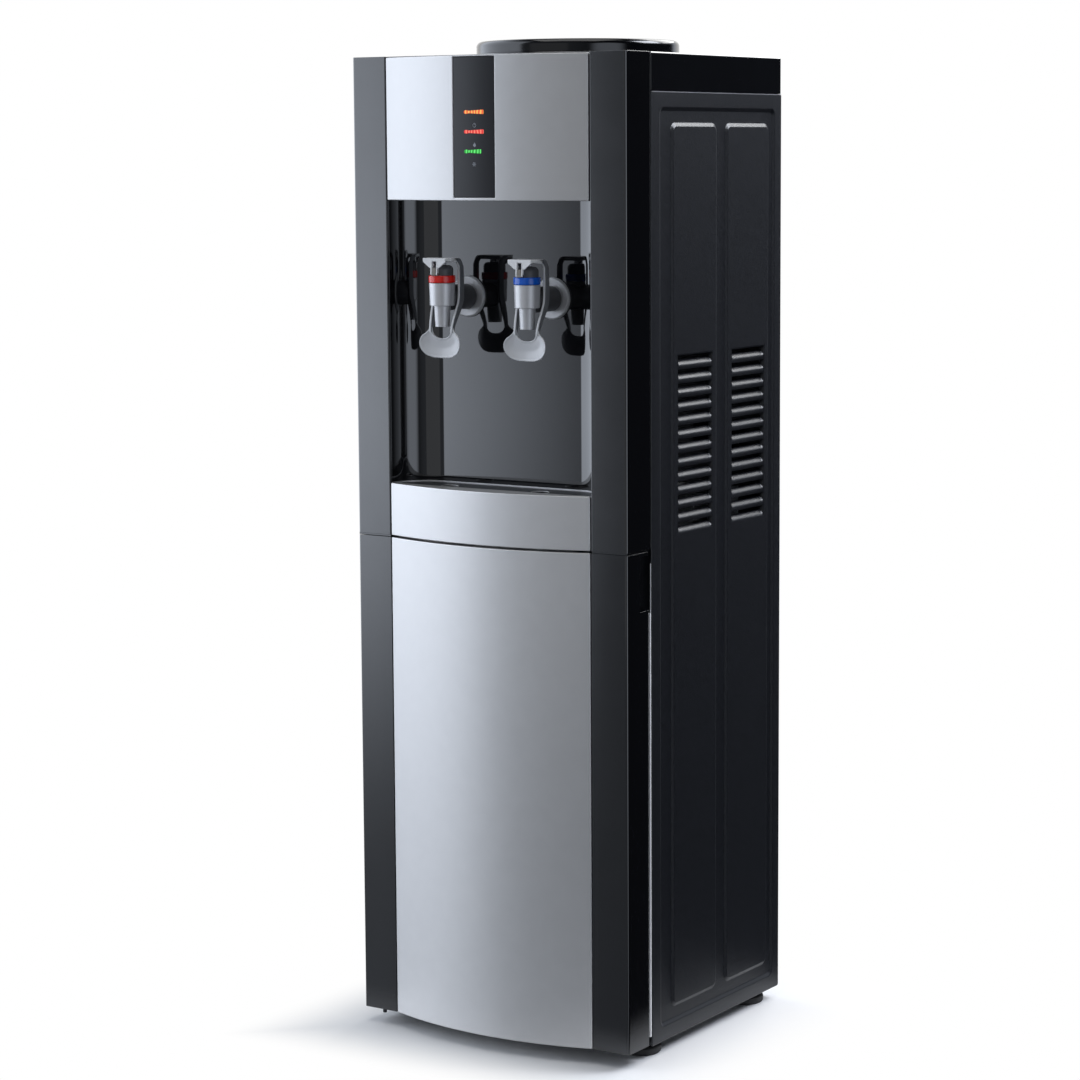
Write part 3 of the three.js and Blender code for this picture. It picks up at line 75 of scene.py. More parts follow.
def surface(name, color, rough, metal=0.0, coat=0.0, coat_rough=0.08, grain=900.0, bump=0.03, vary=0.06,
            rough_vary=0.05, spec=0.5, mottle=35.0, stretch=(1, 1, 1)):
    """A moulded, painted or bare surface: fine grain in the bump, slow mottling in colour and roughness."""
    mat, nodes, links, bsdf = new_material(name)
    coord = nodes.new("ShaderNodeTexCoord")
    place = nodes.new("ShaderNodeMapping")
    feed(place, {"Scale": stretch})
    links.new(coord.outputs["Object"], place.inputs["Vector"])
    slow = nodes.new("ShaderNodeTexNoise")
    feed(slow, {"Scale": mottle, "Detail": 3})
    links.new(place.outputs["Vector"], slow.inputs["Vector"])
    fine = nodes.new("ShaderNodeTexNoise")
    feed(fine, {"Scale": grain, "Detail": 4})
    links.new(place.outputs["Vector"], fine.inputs["Vector"])
    ramp = nodes.new("ShaderNodeValToRGB")
    for stop, position, share in zip(ramp.color_ramp.elements, (0.3, 0.7), (1 - vary, 1 + vary)):
        stop.position, stop.color = position, (*[min(1, c * share) for c in color], 1)
    links.new(slow.outputs["Fac"], ramp.inputs["Fac"])
    links.new(ramp.outputs["Color"], bsdf.inputs["Base Color"])
    level = nodes.new("ShaderNodeMapRange")
    feed(level, {"To Min": max(0.02, rough - rough_vary), "To Max": min(1, rough + rough_vary)})
    links.new(slow.outputs["Fac"], level.inputs["Value"])
    links.new(level.outputs["Result"], bsdf.inputs["Roughness"])
    if bump:
        bumps = nodes.new("ShaderNodeBump")
        feed(bumps, {"Strength": bump, "Distance": 0.0004})
        links.new(fine.outputs["Fac"], bumps.inputs["Height"])
        links.new(bumps.outputs["Normal"], bsdf.inputs["Normal"])
    feed(bsdf, {"Metallic": metal, "Coat Weight": coat, "Coat Roughness": coat_rough,
                "Specular IOR Level": spec})
    return mat


SILVER = surface("silver_paint", (0.7, 0.695, 0.69), 0.43, metal=0.85, coat=0.06, grain=2600, bump=0.04,
                 vary=0.015, rough_vary=0.02, mottle=60)
SILVER_EDGE = surface("tap_silver", (0.68, 0.68, 0.69), 0.42, metal=0.5, coat=0.1, grain=2000, vary=0.03)
FLANGE = surface("flange_silver", (0.7, 0.7, 0.7), 0.42, metal=0.25, coat=0.1, grain=2000, vary=0.03)
GLOSS = surface("gloss_black", (0.003, 0.0033, 0.0045), 0.05, coat=1.0, coat_rough=0.03, grain=60, bump=0.012,
                vary=0.1, rough_vary=0.015)
SATIN = surface("satin_black", (0.0012, 0.0013, 0.0022), 0.11, coat=0.5, grain=1800, rough_vary=0.02,
                spec=0.8)
COLLAR_BLACK = surface("collar_black", (0.0015, 0.0016, 0.0025), 0.13, coat=0.1, coat_rough=0.05, grain=1800,
                       rough_vary=0.02)
PANEL_BLACK = surface("panel_black", (0.004, 0.0043, 0.0075), 0.3, grain=1800, bump=0.02, vary=0.05,
                      rough_vary=0.02, spec=0.4)
STEEL = surface("charcoal_steel", (0.0088, 0.0098, 0.0128), 0.34, grain=700, bump=0.4, vary=0.3,
                rough_vary=0.07, spec=0.6, mottle=450)
# Pale strip on the side panels' top edge: the bare sheet edge with a painted highlight line.
PALE_EDGE_HIGHLIGHT = surface("edge_painted_highlight", (0.5, 0.5, 0.52), 0.45, metal=0.2, bump=0.05, vary=0.1)
ZINC = surface("zinc_steel", (0.55, 0.56, 0.57), 0.38, metal=0.9, grain=300, bump=0.05, vary=0.12,
               rough_vary=0.1, mottle=90)
STAINLESS = surface("stainless", (0.62, 0.63, 0.64), 0.26, metal=1.0, grain=500, bump=0.06, vary=0.04,
                    stretch=(1, 1, 14))
ALLOY = surface("alloy", (0.6, 0.61, 0.62), 0.4, metal=1.0, grain=400, bump=0.05, vary=0.05,
                stretch=(1, 1, 8))
FOAM = surface("foam", (0.78, 0.76, 0.68), 0.95, grain=420, bump=0.6, vary=0.08, mottle=160)
GREY = surface("grey_plastic", (0.55, 0.56, 0.57), 0.48, grain=1400, bump=0.12, vary=0.04)
WHITE = surface("white_plastic", (0.88, 0.88, 0.88), 0.3, coat=0.2, vary=0.02)
LEVER = surface("lever_plastic", (0.7, 0.705, 0.715), 0.34, coat=0.15, vary=0.03)
# Painted shade: the lever's plastic as a dark grey, for the arms' side faces.
LEVER_SIDE_SHADE = surface("lever_side_painted_shade", (0.2, 0.205, 0.215), 0.38, bump=0.05, vary=0.05)
DARK = surface("dark_plastic", (0.045, 0.044, 0.046), 0.4, grain=1500, bump=0.12, vary=0.08)
BONNET = surface("bonnet_plastic", (0.1, 0.1, 0.105), 0.42, grain=1500, bump=0.1)
FUNNEL = surface("funnel_plastic", (0.6, 0.61, 0.62), 0.35, coat=0.1, vary=0.02)
TONGUE = surface("tongue_plastic", (0.26, 0.235, 0.2), 0.45, grain=1500, bump=0.1, vary=0.08)
# Painted shade: a dull black without sheen, put where only shade falls.
SHADE_BLACK = surface("painted_shade_black", (0.004, 0.004, 0.004), 0.9, spec=0.0, bump=0.0, vary=0.1)
TRAY = surface("tray_grey", (0.05, 0.052, 0.057), 0.42, spec=0.14, grain=1500, bump=0.2, vary=0.15)
RUBBER = surface("black_rubber", (0.02, 0.02, 0.02), 0.75, grain=1200, bump=0.3, vary=0.15)
HOSE = surface("clear_hose", (0.34, 0.35, 0.34), 0.3, grain=300, vary=0.05)
RED = surface("red_plastic", (0.85, 0.012, 0.004), 0.22, coat=0.1, vary=0.04)
BLUE = surface("blue_plastic", (0.001, 0.12, 0.66), 0.22, coat=0.1, vary=0.04)
GREEN = surface("green_plastic", (0.01, 0.22, 0.05), 0.25, coat=0.3, vary=0.04)
PRINT = surface("pale_print", (0.36, 0.38, 0.42), 0.5, bump=0.0, vary=0.03)
PIN_STEEL = surface("pin_steel", (0.5, 0.5, 0.5), 0.3, metal=1.0, vary=0.05)


def painted_light_and_shade_by_height(mat, stops):
    """Changes a material's colour by height, from a list of (height in metres, share of the colour)."""
    nodes, links = mat.node_tree.nodes, mat.node_tree.links
    coord = nodes.new("ShaderNodeTexCoord")
    split = nodes.new("ShaderNodeSeparateXYZ")
    links.new(coord.outputs["Object"], split.inputs["Vector"])
    ramp = nodes.new("ShaderNodeValToRGB")
    while len(ramp.color_ramp.elements) < len(stops):
        ramp.color_ramp.elements.new(0.5)
    for stop, (height, share) in zip(ramp.color_ramp.elements, stops):
        stop.position, stop.color = height, (share, share, share, 1)
    links.new(split.outputs["Z"], ramp.inputs["Fac"])
    mix = nodes.new("ShaderNodeMix")
    mix.data_type, mix.blend_type = "RGBA", "MULTIPLY"
    feed(mix, {"Factor": 1})
    socket = nodes["Principled BSDF"].inputs["Base Color"]
    links.new(socket.links[0].from_socket, mix.inputs["A"])
    links.new(ramp.outputs["Color"], mix.inputs["B"])
    links.new(mix.outputs["Result"], socket)


# Painted light and shade on the silver paint: a little darker near the floor, lightest at mid height and darker
# on the control front at the top.
painted_light_and_shade_by_height(SILVER, [(0.02, 0.95), (0.2, 0.97), (0.33, 0.99), (0.55, 1.03), (0.82, 0.84), (0.95, 0.84)])


def lamp_bar(name, base, bright):
    """A lit bar: a row of bright spots behind a coloured lens."""
    mat, nodes, links, bsdf = new_material(name)
    coord = nodes.new("ShaderNodeTexCoord")
    wave = nodes.new("ShaderNodeTexWave")
    feed(wave, {"Scale": 95, "Distortion": 3.0, "Detail": 1})
    links.new(coord.outputs["Object"], wave.inputs["Vector"])
    ramp = nodes.new("ShaderNodeValToRGB")
    for stop, position, color in zip(ramp.color_ramp.elements, (0.35, 0.8), (base, bright)):
        stop.position, stop.color = position, (*color, 1)
    links.new(wave.outputs["Fac"], ramp.inputs["Fac"])
    dim = nodes.new("ShaderNodeHueSaturation")
    feed(dim, {"Value": 0.25})
    links.new(ramp.outputs["Color"], dim.inputs["Color"])
    links.new(dim.outputs["Color"], bsdf.inputs["Base Color"])
    links.new(ramp.outputs["Color"], bsdf.inputs["Emission Color"])
    feed(bsdf, {"Emission Strength": 0.9, "Roughness": 0.25})
    return mat


LAMP_ORANGE = lamp_bar("orange_light", (0.85, 0.1, 0.02), (1.0, 0.5, 0.08))
LAMP_RED = lamp_bar("red_light", (0.72, 0.012, 0.012), (1.0, 0.2, 0.12))
LAMP_GREEN = lamp_bar("green_light", (0.0, 0.3, 0.015), (0.1, 0.85, 0.14))


# Mesh tools.
def soften(bm, width, steps, angle):
    """Bevels the edges that bend by more than an angle in degrees."""
    hard = [e for e in bm.edges if len(e.link_faces) == 2 and e.calc_face_angle(0) > math.radians(angle)]
    if width and hard:
        bmesh.ops.bevel(bm, geom=hard, offset=width, segments=steps, profile=0.5, affect="EDGES",
                        clamp_overlap=True)


def to_object(bm, name, mats, sharp):
    """A bmesh in millimetres becomes an object in metres, smooth but for its sharp edges."""
    bmesh.ops.scale(bm, vec=(MM, MM, MM), verts=bm.verts)
    mesh = bpy.data.meshes.new(name)
    bm.to_mesh(mesh)
    bm.free()
    for mat in mats:
        mesh.materials.append(mat)
    mesh.shade_smooth()
    mesh.set_sharp_from_angle(angle=math.radians(sharp))
    obj = bpy.data.objects.new(name, mesh)
    bpy.context.scene.collection.objects.link(obj)
    return obj


def weigh_normals(obj, weight=50):
    """Normals follow the larger faces, so that flats stay flat beside their bevels."""
    weigh = obj.modifiers.new("weigh", "WEIGHTED_NORMAL")
    weigh.keep_sharp, weigh.weight = True, weight


def emit(bm, name, mat, body="cabinet", replaces=(), bevel=0.0, steps=3, angle=32.0, sharp=SHARP):
    """Puts a bmesh into the scene: bevels its hard edges, smooths it and ties it to its CAD body."""
    bmesh.ops.remove_doubles(bm, verts=bm.verts, dist=WELD)
    bmesh.ops.recalc_face_normals(bm, faces=bm.faces)
    soften(bm, bevel, steps, angle)
    obj = to_object(bm, name, [mat], sharp)
    weigh_normals(obj)
    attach(obj, body)
    if replaces:
        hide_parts(*replaces)
    return obj


def fillet(points, radius, steps=5, closed=True):
    """An outline's points with the corners rounded. A point may carry its own radius as a third number."""
    out = []
    count = len(points)
    for i, p in enumerate(points):
        r = p[2] if len(p) > 2 else radius
        if not r or (not closed and i in (0, count - 1)):
            out.append((p[0], p[1]))
            continue
        a, b, c = Vector(points[i - 1][:2]), Vector(p[:2]), Vector(points[(i + 1) % count][:2])
        u, v = (a - b).normalized(), (c - b).normalized()
        half = u.angle(v) / 2
        if half > math.radians(89.5):
            out.append((p[0], p[1]))
            continue
        reach = min(r / math.tan(half), (a - b).length * 0.49, (c - b).length * 0.49)
        r = reach * math.tan(half)
        centre = b + (u + v).normalized() * (r / math.sin(half))
        start, end = b + u * reach - centre, b + v * reach - centre
        turn = start.angle_signed(end)
        for k in range(steps + 1):
            t = -turn * k / steps
            out.append((centre.x + start.x * math.cos(t) - start.y * math.sin(t),
                        centre.y + start.x * math.sin(t) + start.y * math.cos(t)))
    return out


def rect(u0, u1, v0, v1):
    """The corners of a rectangle, anticlockwise."""
    return [(u0, v0), (u1, v0), (u1, v1), (u0, v1)]


def to_xyz(axis, u, v, w):
    """A point from two flat coordinates and one along an axis."""
    return {"x": (w, u, v), "y": (u, w, v), "z": (u, v, w)}[axis]


def prism(bm, outline, low, high, axis="z", holes=()):
    """A flat outline drawn out along an axis; holes go right through."""
    rings = []
    for loop in [outline, *holes]:
        bottom = [bm.verts.new(to_xyz(axis, u, v, low)) for u, v in loop]
        top = [bm.verts.new(to_xyz(axis, u, v, high)) for u, v in loop]
        rings.append((bottom, top))
        rings_between(bm, (bottom, top))
    for first, *others in zip(*rings):
        if others:
            fill_between(bm, first, others)
        else:
            bm.faces.new(first)


def box(bm, x, y, z):
    """A block from three ranges."""
    prism(bm, rect(x[0], x[1], y[0], y[1]), z[0], z[1])


def lathe(bm, profile, place, axis, segments):
    """A profile of (radius, height) points turned about an axis through a place."""
    rings = []
    for i in range(segments):
        t = 2 * math.pi * (i / segments)
        ring = []
        for r, h in profile:
            x, y, z = to_xyz(axis, r * math.cos(t), r * math.sin(t), h)
            ring.append(bm.verts.new((x + place[0], y + place[1], z + place[2])))
        rings.append(ring)
    for i in range(segments):
        a, b = rings[i], rings[(i + 1) % segments]
        for k in range(len(profile) - 1):
            bm.faces.new((a[k], b[k], b[k + 1], a[k + 1]))


def turned(name, profile, place, mat, body="cabinet", replaces=(), axis="z", segments=96):
    """A turned piece of its own."""
    bm = bmesh.new()
    lathe(bm, profile, place, axis, segments)
    bmesh.ops.remove_doubles(bm, verts=bm.verts, dist=WELD)
    bmesh.ops.dissolve_degenerate(bm, edges=bm.edges, dist=WELD)
    return emit(bm, name, mat, body, replaces)


def refine(node, mat, body="cabinet", bevel=0.5, inner=None):
    """A CAD node's own shape, its hard edges rounded; all but its rear face may take an inner material, which
    paints shade on them.
    """
    bm = bmesh.new()
    bm.from_mesh(NODES[node].data)
    bmesh.ops.scale(bm, vec=(1000, 1000, 1000), verts=bm.verts)
    bmesh.ops.remove_doubles(bm, verts=bm.verts, dist=WELD)
    bmesh.ops.dissolve_limit(bm, angle_limit=math.radians(1.0), verts=bm.verts, edges=bm.edges)
    bmesh.ops.triangulate(bm, faces=[f for f in bm.faces if len(f.verts) > 4], quad_method="BEAUTY")
    soften(bm, bevel, 2, 35.0)
    obj = to_object(bm, node + "_fine", [mat, inner] if inner else [mat], SHARP)
    if inner:
        for face in obj.data.polygons:
            face.material_index = 0 if face.normal.y > 0.3 else 1
    weigh_normals(obj)
    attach(obj, body)
    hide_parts(node)
    return obj


def offset(loop, by):
    """A closed outline, drawn anticlockwise, moved outwards by a distance."""
    out = []
    n = len(loop)
    for i in range(n):
        a, b, c = Vector(loop[i - 1]), Vector(loop[i]), Vector(loop[(i + 1) % n])
        d1, d2 = (b - a), (c - b)
        d1 = d1.normalized() if d1.length > 1e-9 else d2.normalized()
        d2 = d2.normalized() if d2.length > 1e-9 else d1
        n1, n2 = Vector((d1.y, -d1.x)), Vector((d2.y, -d2.x))
        m = n1 + n2
        m = m / max(m.dot(m) / 2, 0.3)
        out.append((b.x + m.x * by, b.y + m.y * by))
    return out


def row_at(bm, outline, z):
    """A row of vertices along an outline, at one height."""
    return [bm.verts.new((x, y, z)) for x, y in outline]


def strips_between(bm, rows):
    """Faces between open rows of vertices with the same count."""
    for a, b in zip(rows, rows[1:]):
        for i in range(len(a) - 1):
            bm.faces.new((a[i], a[i + 1], b[i + 1], b[i]))


def rings_between(bm, rows):
    """Faces between closed rows of vertices with the same count."""
    strips_between(bm, [[*row, row[0]] for row in rows])


def fill_between(bm, outer, holes):
    """Flat faces inside one closed row of vertices and outside the holes."""
    edges = []
    for verts in (outer, *holes):
        for i in range(len(verts)):
            pair = (verts[i], verts[(i + 1) % len(verts)])
            edges.append(bm.edges.get(pair) or bm.edges.new(pair))
    bmesh.ops.triangle_fill(bm, edges=edges, use_beauty=True)


def both(side, x0, x1):
    """A range of x on the right, or its mirror image on the left."""
    return sorted((side * x0, side * x1))


def bow_y(x, inset=0.0):
    """Where the bowed front lies at x, or a parallel bow behind it."""
    return BOW_CY - math.sqrt((BOW_R - inset) ** 2 - x * x)


# Bowed silver fronts.
BOW_COLUMNS, FASCIA_EDGE = 56, 0.9


def bowed_front(name, z0, z1, body, replaces, window=None):
    """A silver front that follows the bow, with returns behind it and perhaps a window with sunk sides."""
    columns = {round(-FASCIA_X + 2 * FASCIA_X * i / BOW_COLUMNS, 3) for i in range(BOW_COLUMNS + 1)}
    xs = sorted(columns | set(window[0] if window else ()))
    zs = [z0, *(window[1] if window else ()), z1]
    bm = bmesh.new()
    grid = [[bm.verts.new((x, bow_y(x), z)) for x in xs] for z in zs]
    back_y = PILLAR_Y + WALL
    backs = [[bm.verts.new((x, back_y, z)) for x in (xs[0], xs[-1])] for z in zs]
    for k in range(len(zs) - 1):
        for i in range(len(xs) - 1):
            inside = window and k == 1 and window[0][0] <= xs[i] and xs[i + 1] <= window[0][1]
            if not inside:
                bm.faces.new((grid[k][i], grid[k][i + 1], grid[k + 1][i + 1], grid[k + 1][i]))
        bm.faces.new((grid[k][0], grid[k + 1][0], backs[k + 1][0], backs[k][0]))
        bm.faces.new((grid[k][-1], grid[k + 1][-1], backs[k + 1][1], backs[k][1]))
    bm.faces.new((*grid[0], backs[0][1], backs[0][0]))
    bm.faces.new((*grid[-1], backs[-1][1], backs[-1][0]))
    if window:
        rim = [i for i, x in enumerate(xs) if window[0][0] <= x <= window[0][1]]
        loop = [grid[1][i] for i in rim] + [grid[2][i] for i in reversed(rim)]
        sunk = [bm.verts.new(v.co + Vector((0, WALL, 0))) for v in loop]
        rings_between(bm, [loop, sunk])
    emit(bm, name, SILVER, body, replaces, bevel=FASCIA_EDGE, steps=4, angle=50, sharp=50)


bowed_front("door_front", DOOR_Z, DOOR_TOP, "door", ("door_skin",))
bowed_front("tray_front", TRAY_Z, RECESS_Z, "cabinet", ("tray_fascia",))
STRIP_X, STRIP_Z, STRIP_GAP, STRIP_SUNK, STRIP_THICK = (-23.4, 23.4), (818.7, 948.9), 0.3, 0.6, 1.8
bowed_front("control_front", CTRL_Z, FRONT_TOP, "cabinet", ("control_fascia",), window=(STRIP_X, STRIP_Z))

# Control strip, light bars and icons. Each light bar narrows to a waist near its left end.
LIGHTS_DOWN, LIGHT_PITCH, LIGHT_LEFT, LIGHT_LENGTHS, LIGHT_Y = 52.5, 18.2, -10.6, (22, 22, 19), (0.35, 5.5)
bm = bmesh.new()
strip_end = STRIP_X[1] - STRIP_GAP
face = [(x, bow_y(x, STRIP_SUNK)) for x in [strip_end * (i / 8 - 1) for i in range(17)]]
prism(bm, face + [(x, y + STRIP_THICK) for x, y in reversed(face)], STRIP_Z[0] + STRIP_GAP,
      STRIP_Z[1] - STRIP_GAP)
emit(bm, "control_panel", PANEL_BLACK, replaces=("control_strip",), bevel=0.35, angle=50)

LIGHTS = {"led_power": LAMP_ORANGE, "led_hot": LAMP_RED, "led_cold": LAMP_GREEN}
for k, (node, mat) in enumerate(LIGHTS.items()):
    z = FRONT_TOP - LIGHTS_DOWN - LIGHT_PITCH * k
    low = [(0, -1.5, 1.2), (3.4, -1.7, 0.5), (5.0, -1.15, 0.6), (LIGHT_LENGTHS[k], -2.1, 0.8)]
    shape = [*low, *[(u, -v, r) for u, v, r in reversed(low)]]
    outline = fillet([(LIGHT_LEFT + u, z + v, r) for u, v, r in shape], 0.5)
    bm = bmesh.new()
    prism(bm, outline, FRONT_Y + LIGHT_Y[0], FRONT_Y + LIGHT_Y[1], axis="y")
    emit(bm, node + "_bar", mat, replaces=(node,), bevel=0.2)


STROKE = 0.5


def icon(name, x, z, kind):
    """A small printed sign on the strip: a ring with a stroke, a flame or a star of ice."""
    bm = bmesh.new()
    y = bow_y(x, STRIP_SUNK)
    low, high = y - 0.05, y + 0.1

    def bar(cx, cz, length, thick, tilt):
        """A straight stroke about its middle."""
        c, s = math.cos(tilt), math.sin(tilt)
        flat = rect(-length / 2, length / 2, -thick / 2, thick / 2)
        prism(bm, [(u * c - v * s + cx, u * s + v * c + cz) for u, v in flat], low, high, axis="y")

    if kind == "power":
        for i in range(14):
            t = math.radians(130 + 280 * i / 13)
            bar(x + 1.7 * math.cos(t), z + 1.7 * math.sin(t), 0.85, STROKE, t + math.pi / 2)
        bar(x, z + 1.2, 1.9, STROKE, math.pi / 2)
    if kind == "flame":
        half = [(0, -2.1), (1.2, -1.6), (1.6, -0.5), (1.2, 0.6), (0.5, 1.3), (0.3, 2.3)]
        prism(bm, half + [(-u * 0.9 - 0.1, v * 0.85) for u, v in reversed(half[1:-1])], low, high, axis="y")
        bmesh.ops.translate(bm, vec=(x, 0, z), verts=bm.verts)
    if kind == "ice":
        for i in range(3):
            bar(x, z, 4.3, STROKE, math.pi * i / 3)
        for i in range(6):
            t = math.pi * i / 3
            bar(x + 1.5 * math.cos(t), z + 1.5 * math.sin(t), 1.1, 0.4, t + math.pi / 2)
    emit(bm, name, PRINT)


icon("icon_power", 1.0, 885.6, "power")
icon("icon_hot", 1.0, 867.6, "flame")
icon("icon_cold", 0.5, 849.6, "ice")


# Pillars.
def pillar(name, side, replaces):
    """A corner post, the plates at its ends, and the lip that closes the seam over the door."""
    front = [(INNER_X, PILLAR_Y, 1.0), (HALF_W, PILLAR_Y, 3.2), (HALF_W, BEZEL_BACK, 0.8)]
    outline = fillet([*front, (HALF_W - WALL, BEZEL_BACK, 0.5), (HALF_W - WALL, PILLAR_Y + 6, 2),
                      (INNER_X, PILLAR_Y + WALL, 0.3)], 0.5, 6)
    bm = bmesh.new()
    prism(bm, [(side * x, y) for x, y in outline], TRAY_Z, COVER_TOP)
    emit(bm, name, SATIN, replaces=replaces, bevel=0.8, angle=50, sharp=50)
    cap = offset(fillet([*front, (INNER_X, BEZEL_BACK, 0.5)], 0.5, 6), -0.4)
    for tag, z in (("top", COVER_TOP - WALL), ("foot", TRAY_Z)):
        bm = bmesh.new()
        prism(bm, [(side * x, y) for x, y in cap], z + 0.05, z + WALL - 0.05)
        emit(bm, name + "_" + tag, SATIN, bevel=0.5, angle=50)
    bm = bmesh.new()
    box(bm, both(side, INNER_X + 0.5, HALF_W - 0.8), (PILLAR_Y + 0.8, BEZEL_BACK - 0.8),
        (DOOR_TOP + 0.35, TRAY_Z + 0.5))
    emit(bm, name + "_lip", SATIN, bevel=0.2)


pillar("pillar_right_fine", 1, ("right_pillar",))
pillar("pillar_left_fine", -1, ("left_pillar",))


# Top cover, collar and funnel.
COVER_Y, COVER_EDGE, PLATFORM_R, PLATFORM_EDGE = BEZEL_BACK + 1.5, 1.6, 106.0, 1.2
WELL_R, LEDGE_Z, LEDGE_W = 92.0, PLATFORM_Z - 16.6, 7
COLLAR_R, COLLAR_H, COLLAR_RIM, DISH = 99.0, 12.3, 11, 16
SPIKE_R, NECK_R, NECK_Z, FUNNEL_LOW, FUNNEL_WALL = 7, 31.5, -38, -73.5, 2.4


def platform_outline(radius):
    """A half circle round the bottle seat that runs straight to the back."""
    arc = [(radius * math.cos(t), BOTTLE_Y + radius * math.sin(t)) for t in
           [math.pi + math.pi * i / 48 for i in range(49)]]
    return [*arc, (radius, BACK_Y - 5), (-radius, BACK_Y - 5)]


def circle(radius, cx=0.0, cy=BOTTLE_Y, count=72):
    """A circle of points, round the bottle seat unless a middle is given."""
    return [(cx + radius * math.cos(2 * math.pi * i / count), cy + radius * math.sin(2 * math.pi * i / count))
            for i in range(count)]


def rounded_over(bm, outline_in, edge, top, steps):
    """Rows that round an edge over, up to a height, on an outline that shrinks by a distance."""
    turns = [math.pi / 2 * k / steps for k in range(steps + 1)]
    return [row_at(bm, outline_in(edge * (1 - math.cos(t))), top - edge + edge * math.sin(t)) for t in turns]


def top_cover():
    """The cover with its side bands, the raised platform and the well for the bottle seat."""
    outer = fillet([(-HALF_W, COVER_Y, 0.6), (HALF_W, COVER_Y, 0.6), (HALF_W, BACK_Y), (-HALF_W, BACK_Y)],
                   5, 8)
    bm = bmesh.new()
    low = row_at(bm, outer, BAND_Z)
    shoulder = rounded_over(bm, lambda by: offset(outer, -by), COVER_EDGE, COVER_TOP, 6)
    rings_between(bm, [low, *shoulder])
    inside = [row_at(bm, offset(outer, -WALL), z) for z in (BAND_Z, COVER_TOP - WALL)]
    rings_between(bm, [low, *inside])
    foot = row_at(bm, platform_outline(PLATFORM_R), COVER_TOP)
    rise = rounded_over(bm, lambda by: platform_outline(PLATFORM_R - by), PLATFORM_EDGE, PLATFORM_Z, 5)
    rings_between(bm, [foot, *rise])
    ledge_r, under = WELL_R - LEDGE_W, LEDGE_Z - WALL
    well = [row_at(bm, circle(radius), z) for radius, z in (
        (WELL_R + 0.5, PLATFORM_Z), (WELL_R, PLATFORM_Z - 0.5), (WELL_R, LEDGE_Z), (ledge_r, LEDGE_Z),
        (ledge_r, under), (WELL_R + WALL, under), (WELL_R + WALL, COVER_TOP - WALL))]
    rings_between(bm, well)
    fill_between(bm, shoulder[-1], [foot])
    fill_between(bm, rise[-1], [well[0]])
    fill_between(bm, inside[1], [well[-1]])
    emit(bm, "cover_top", GLOSS, replaces=("top_cover",), sharp=32)


top_cover()

# The collar's dish rises from dish_r to lip_r, slightly swollen.
lip_r = COLLAR_R - COLLAR_RIM
dish_r, dish_z, skirt_r, skirt_z = lip_r - DISH, COLLAR_H - DISH, WELL_R - 0.3, -10
collar_profile = [(dish_r, skirt_z), (dish_r, dish_z)]
for t in [i / 6 for i in range(1, 6)]:
    collar_profile.append((dish_r + 15 * t, dish_z + 15 * t + 1.2 * math.sin(math.pi * t)))
collar_profile += fillet([(lip_r - 3, COLLAR_H - 3), (lip_r, COLLAR_H, 1.6), (COLLAR_R, COLLAR_H, 5.2),
                          (COLLAR_R, 0, 0.5), (skirt_r, 0)], 0.5, 8, closed=False)[1:]
collar_profile += [(skirt_r, skirt_z), (dish_r, skirt_z)]
turned("collar_ring", collar_profile, (0, BOTTLE_Y, COLLAR_Z), COLLAR_BLACK, "bottle_seat",
       ("bottle_collar",), segments=120)

rim = WELL_R - 0.6
mouth = rim - LEDGE_W - FUNNEL_WALL
funnel_profile = fillet([(rim, 0, 0.6), (mouth, 0, 1.5), (NECK_R, NECK_Z, 6), (NECK_R, FUNNEL_LOW, 1),
                         (SPIKE_R, FUNNEL_LOW, 2), (SPIKE_R, -19, 1), (0.01, -10),
                         (0.01, FUNNEL_LOW - WALL), (NECK_R + WALL, FUNNEL_LOW - WALL, 1),
                         (NECK_R + WALL, NECK_Z, 6), (mouth, -FUNNEL_WALL, 1.5), (rim, -FUNNEL_WALL, 0.6),
                         (rim, 0)], 0, 5, closed=False)
turned("funnel_cone", funnel_profile, (0, BOTTLE_Y, LEDGE_Z + 0.3 + FUNNEL_WALL), FUNNEL, "bottle_seat",
       ("bottle_funnel",))


# Recess liner and drip parts.
RECESS_R, SHELF_Z, CEILING_Z, CARRIER_X, PLATE_Z, BOW_INSET = 36.5, 520.4, 816.7, 118, 540.0, 2.8
DRIP_HOLES, DRIP_HOLE_R = [(x, PILLAR_Y + 10.0) for x in (-52.0, 52.0)], 6.7
DRIP_RING = [(8.1, 0.1), (9.1, 0.1), (9.0, 0.5), (8.6, 0.75), (8.2, 0.5), (8.1, 0.1)]
DRIP_CUP = [(5.9, -2.2), (6.5, -2.2), (6.6, 0.08), (8.05, 0.08), (8.0, 0.3), (6.3, 0.15), (5.9, -0.3),
            (5.9, -2.2)]


def recess_curve(by, front):
    """The recess seen from above, from its right front corner round the back to its left."""
    x, y, r = INNER_X + by, RECESS_BACK + by, RECESS_R + by
    turns = [math.pi / 2 * i / 12 for i in range(13)]
    right = [(x - r + r * math.cos(t), y - r + r * math.sin(t)) for t in turns]
    return [(x, front), *right, *[(-u, v) for u, v in reversed(right)], (-x, front)]


def bowed_plate(inset, back):
    """A flat outline that follows the bow in front and a given curve behind."""
    chord = math.sqrt((BOW_R - inset) ** 2 - (BOW_CY - PILLAR_Y) ** 2)
    front = [(chord * (i / 20 - 1), bow_y(chord * (i / 20 - 1), inset)) for i in range(41)]
    return [*front, *back]


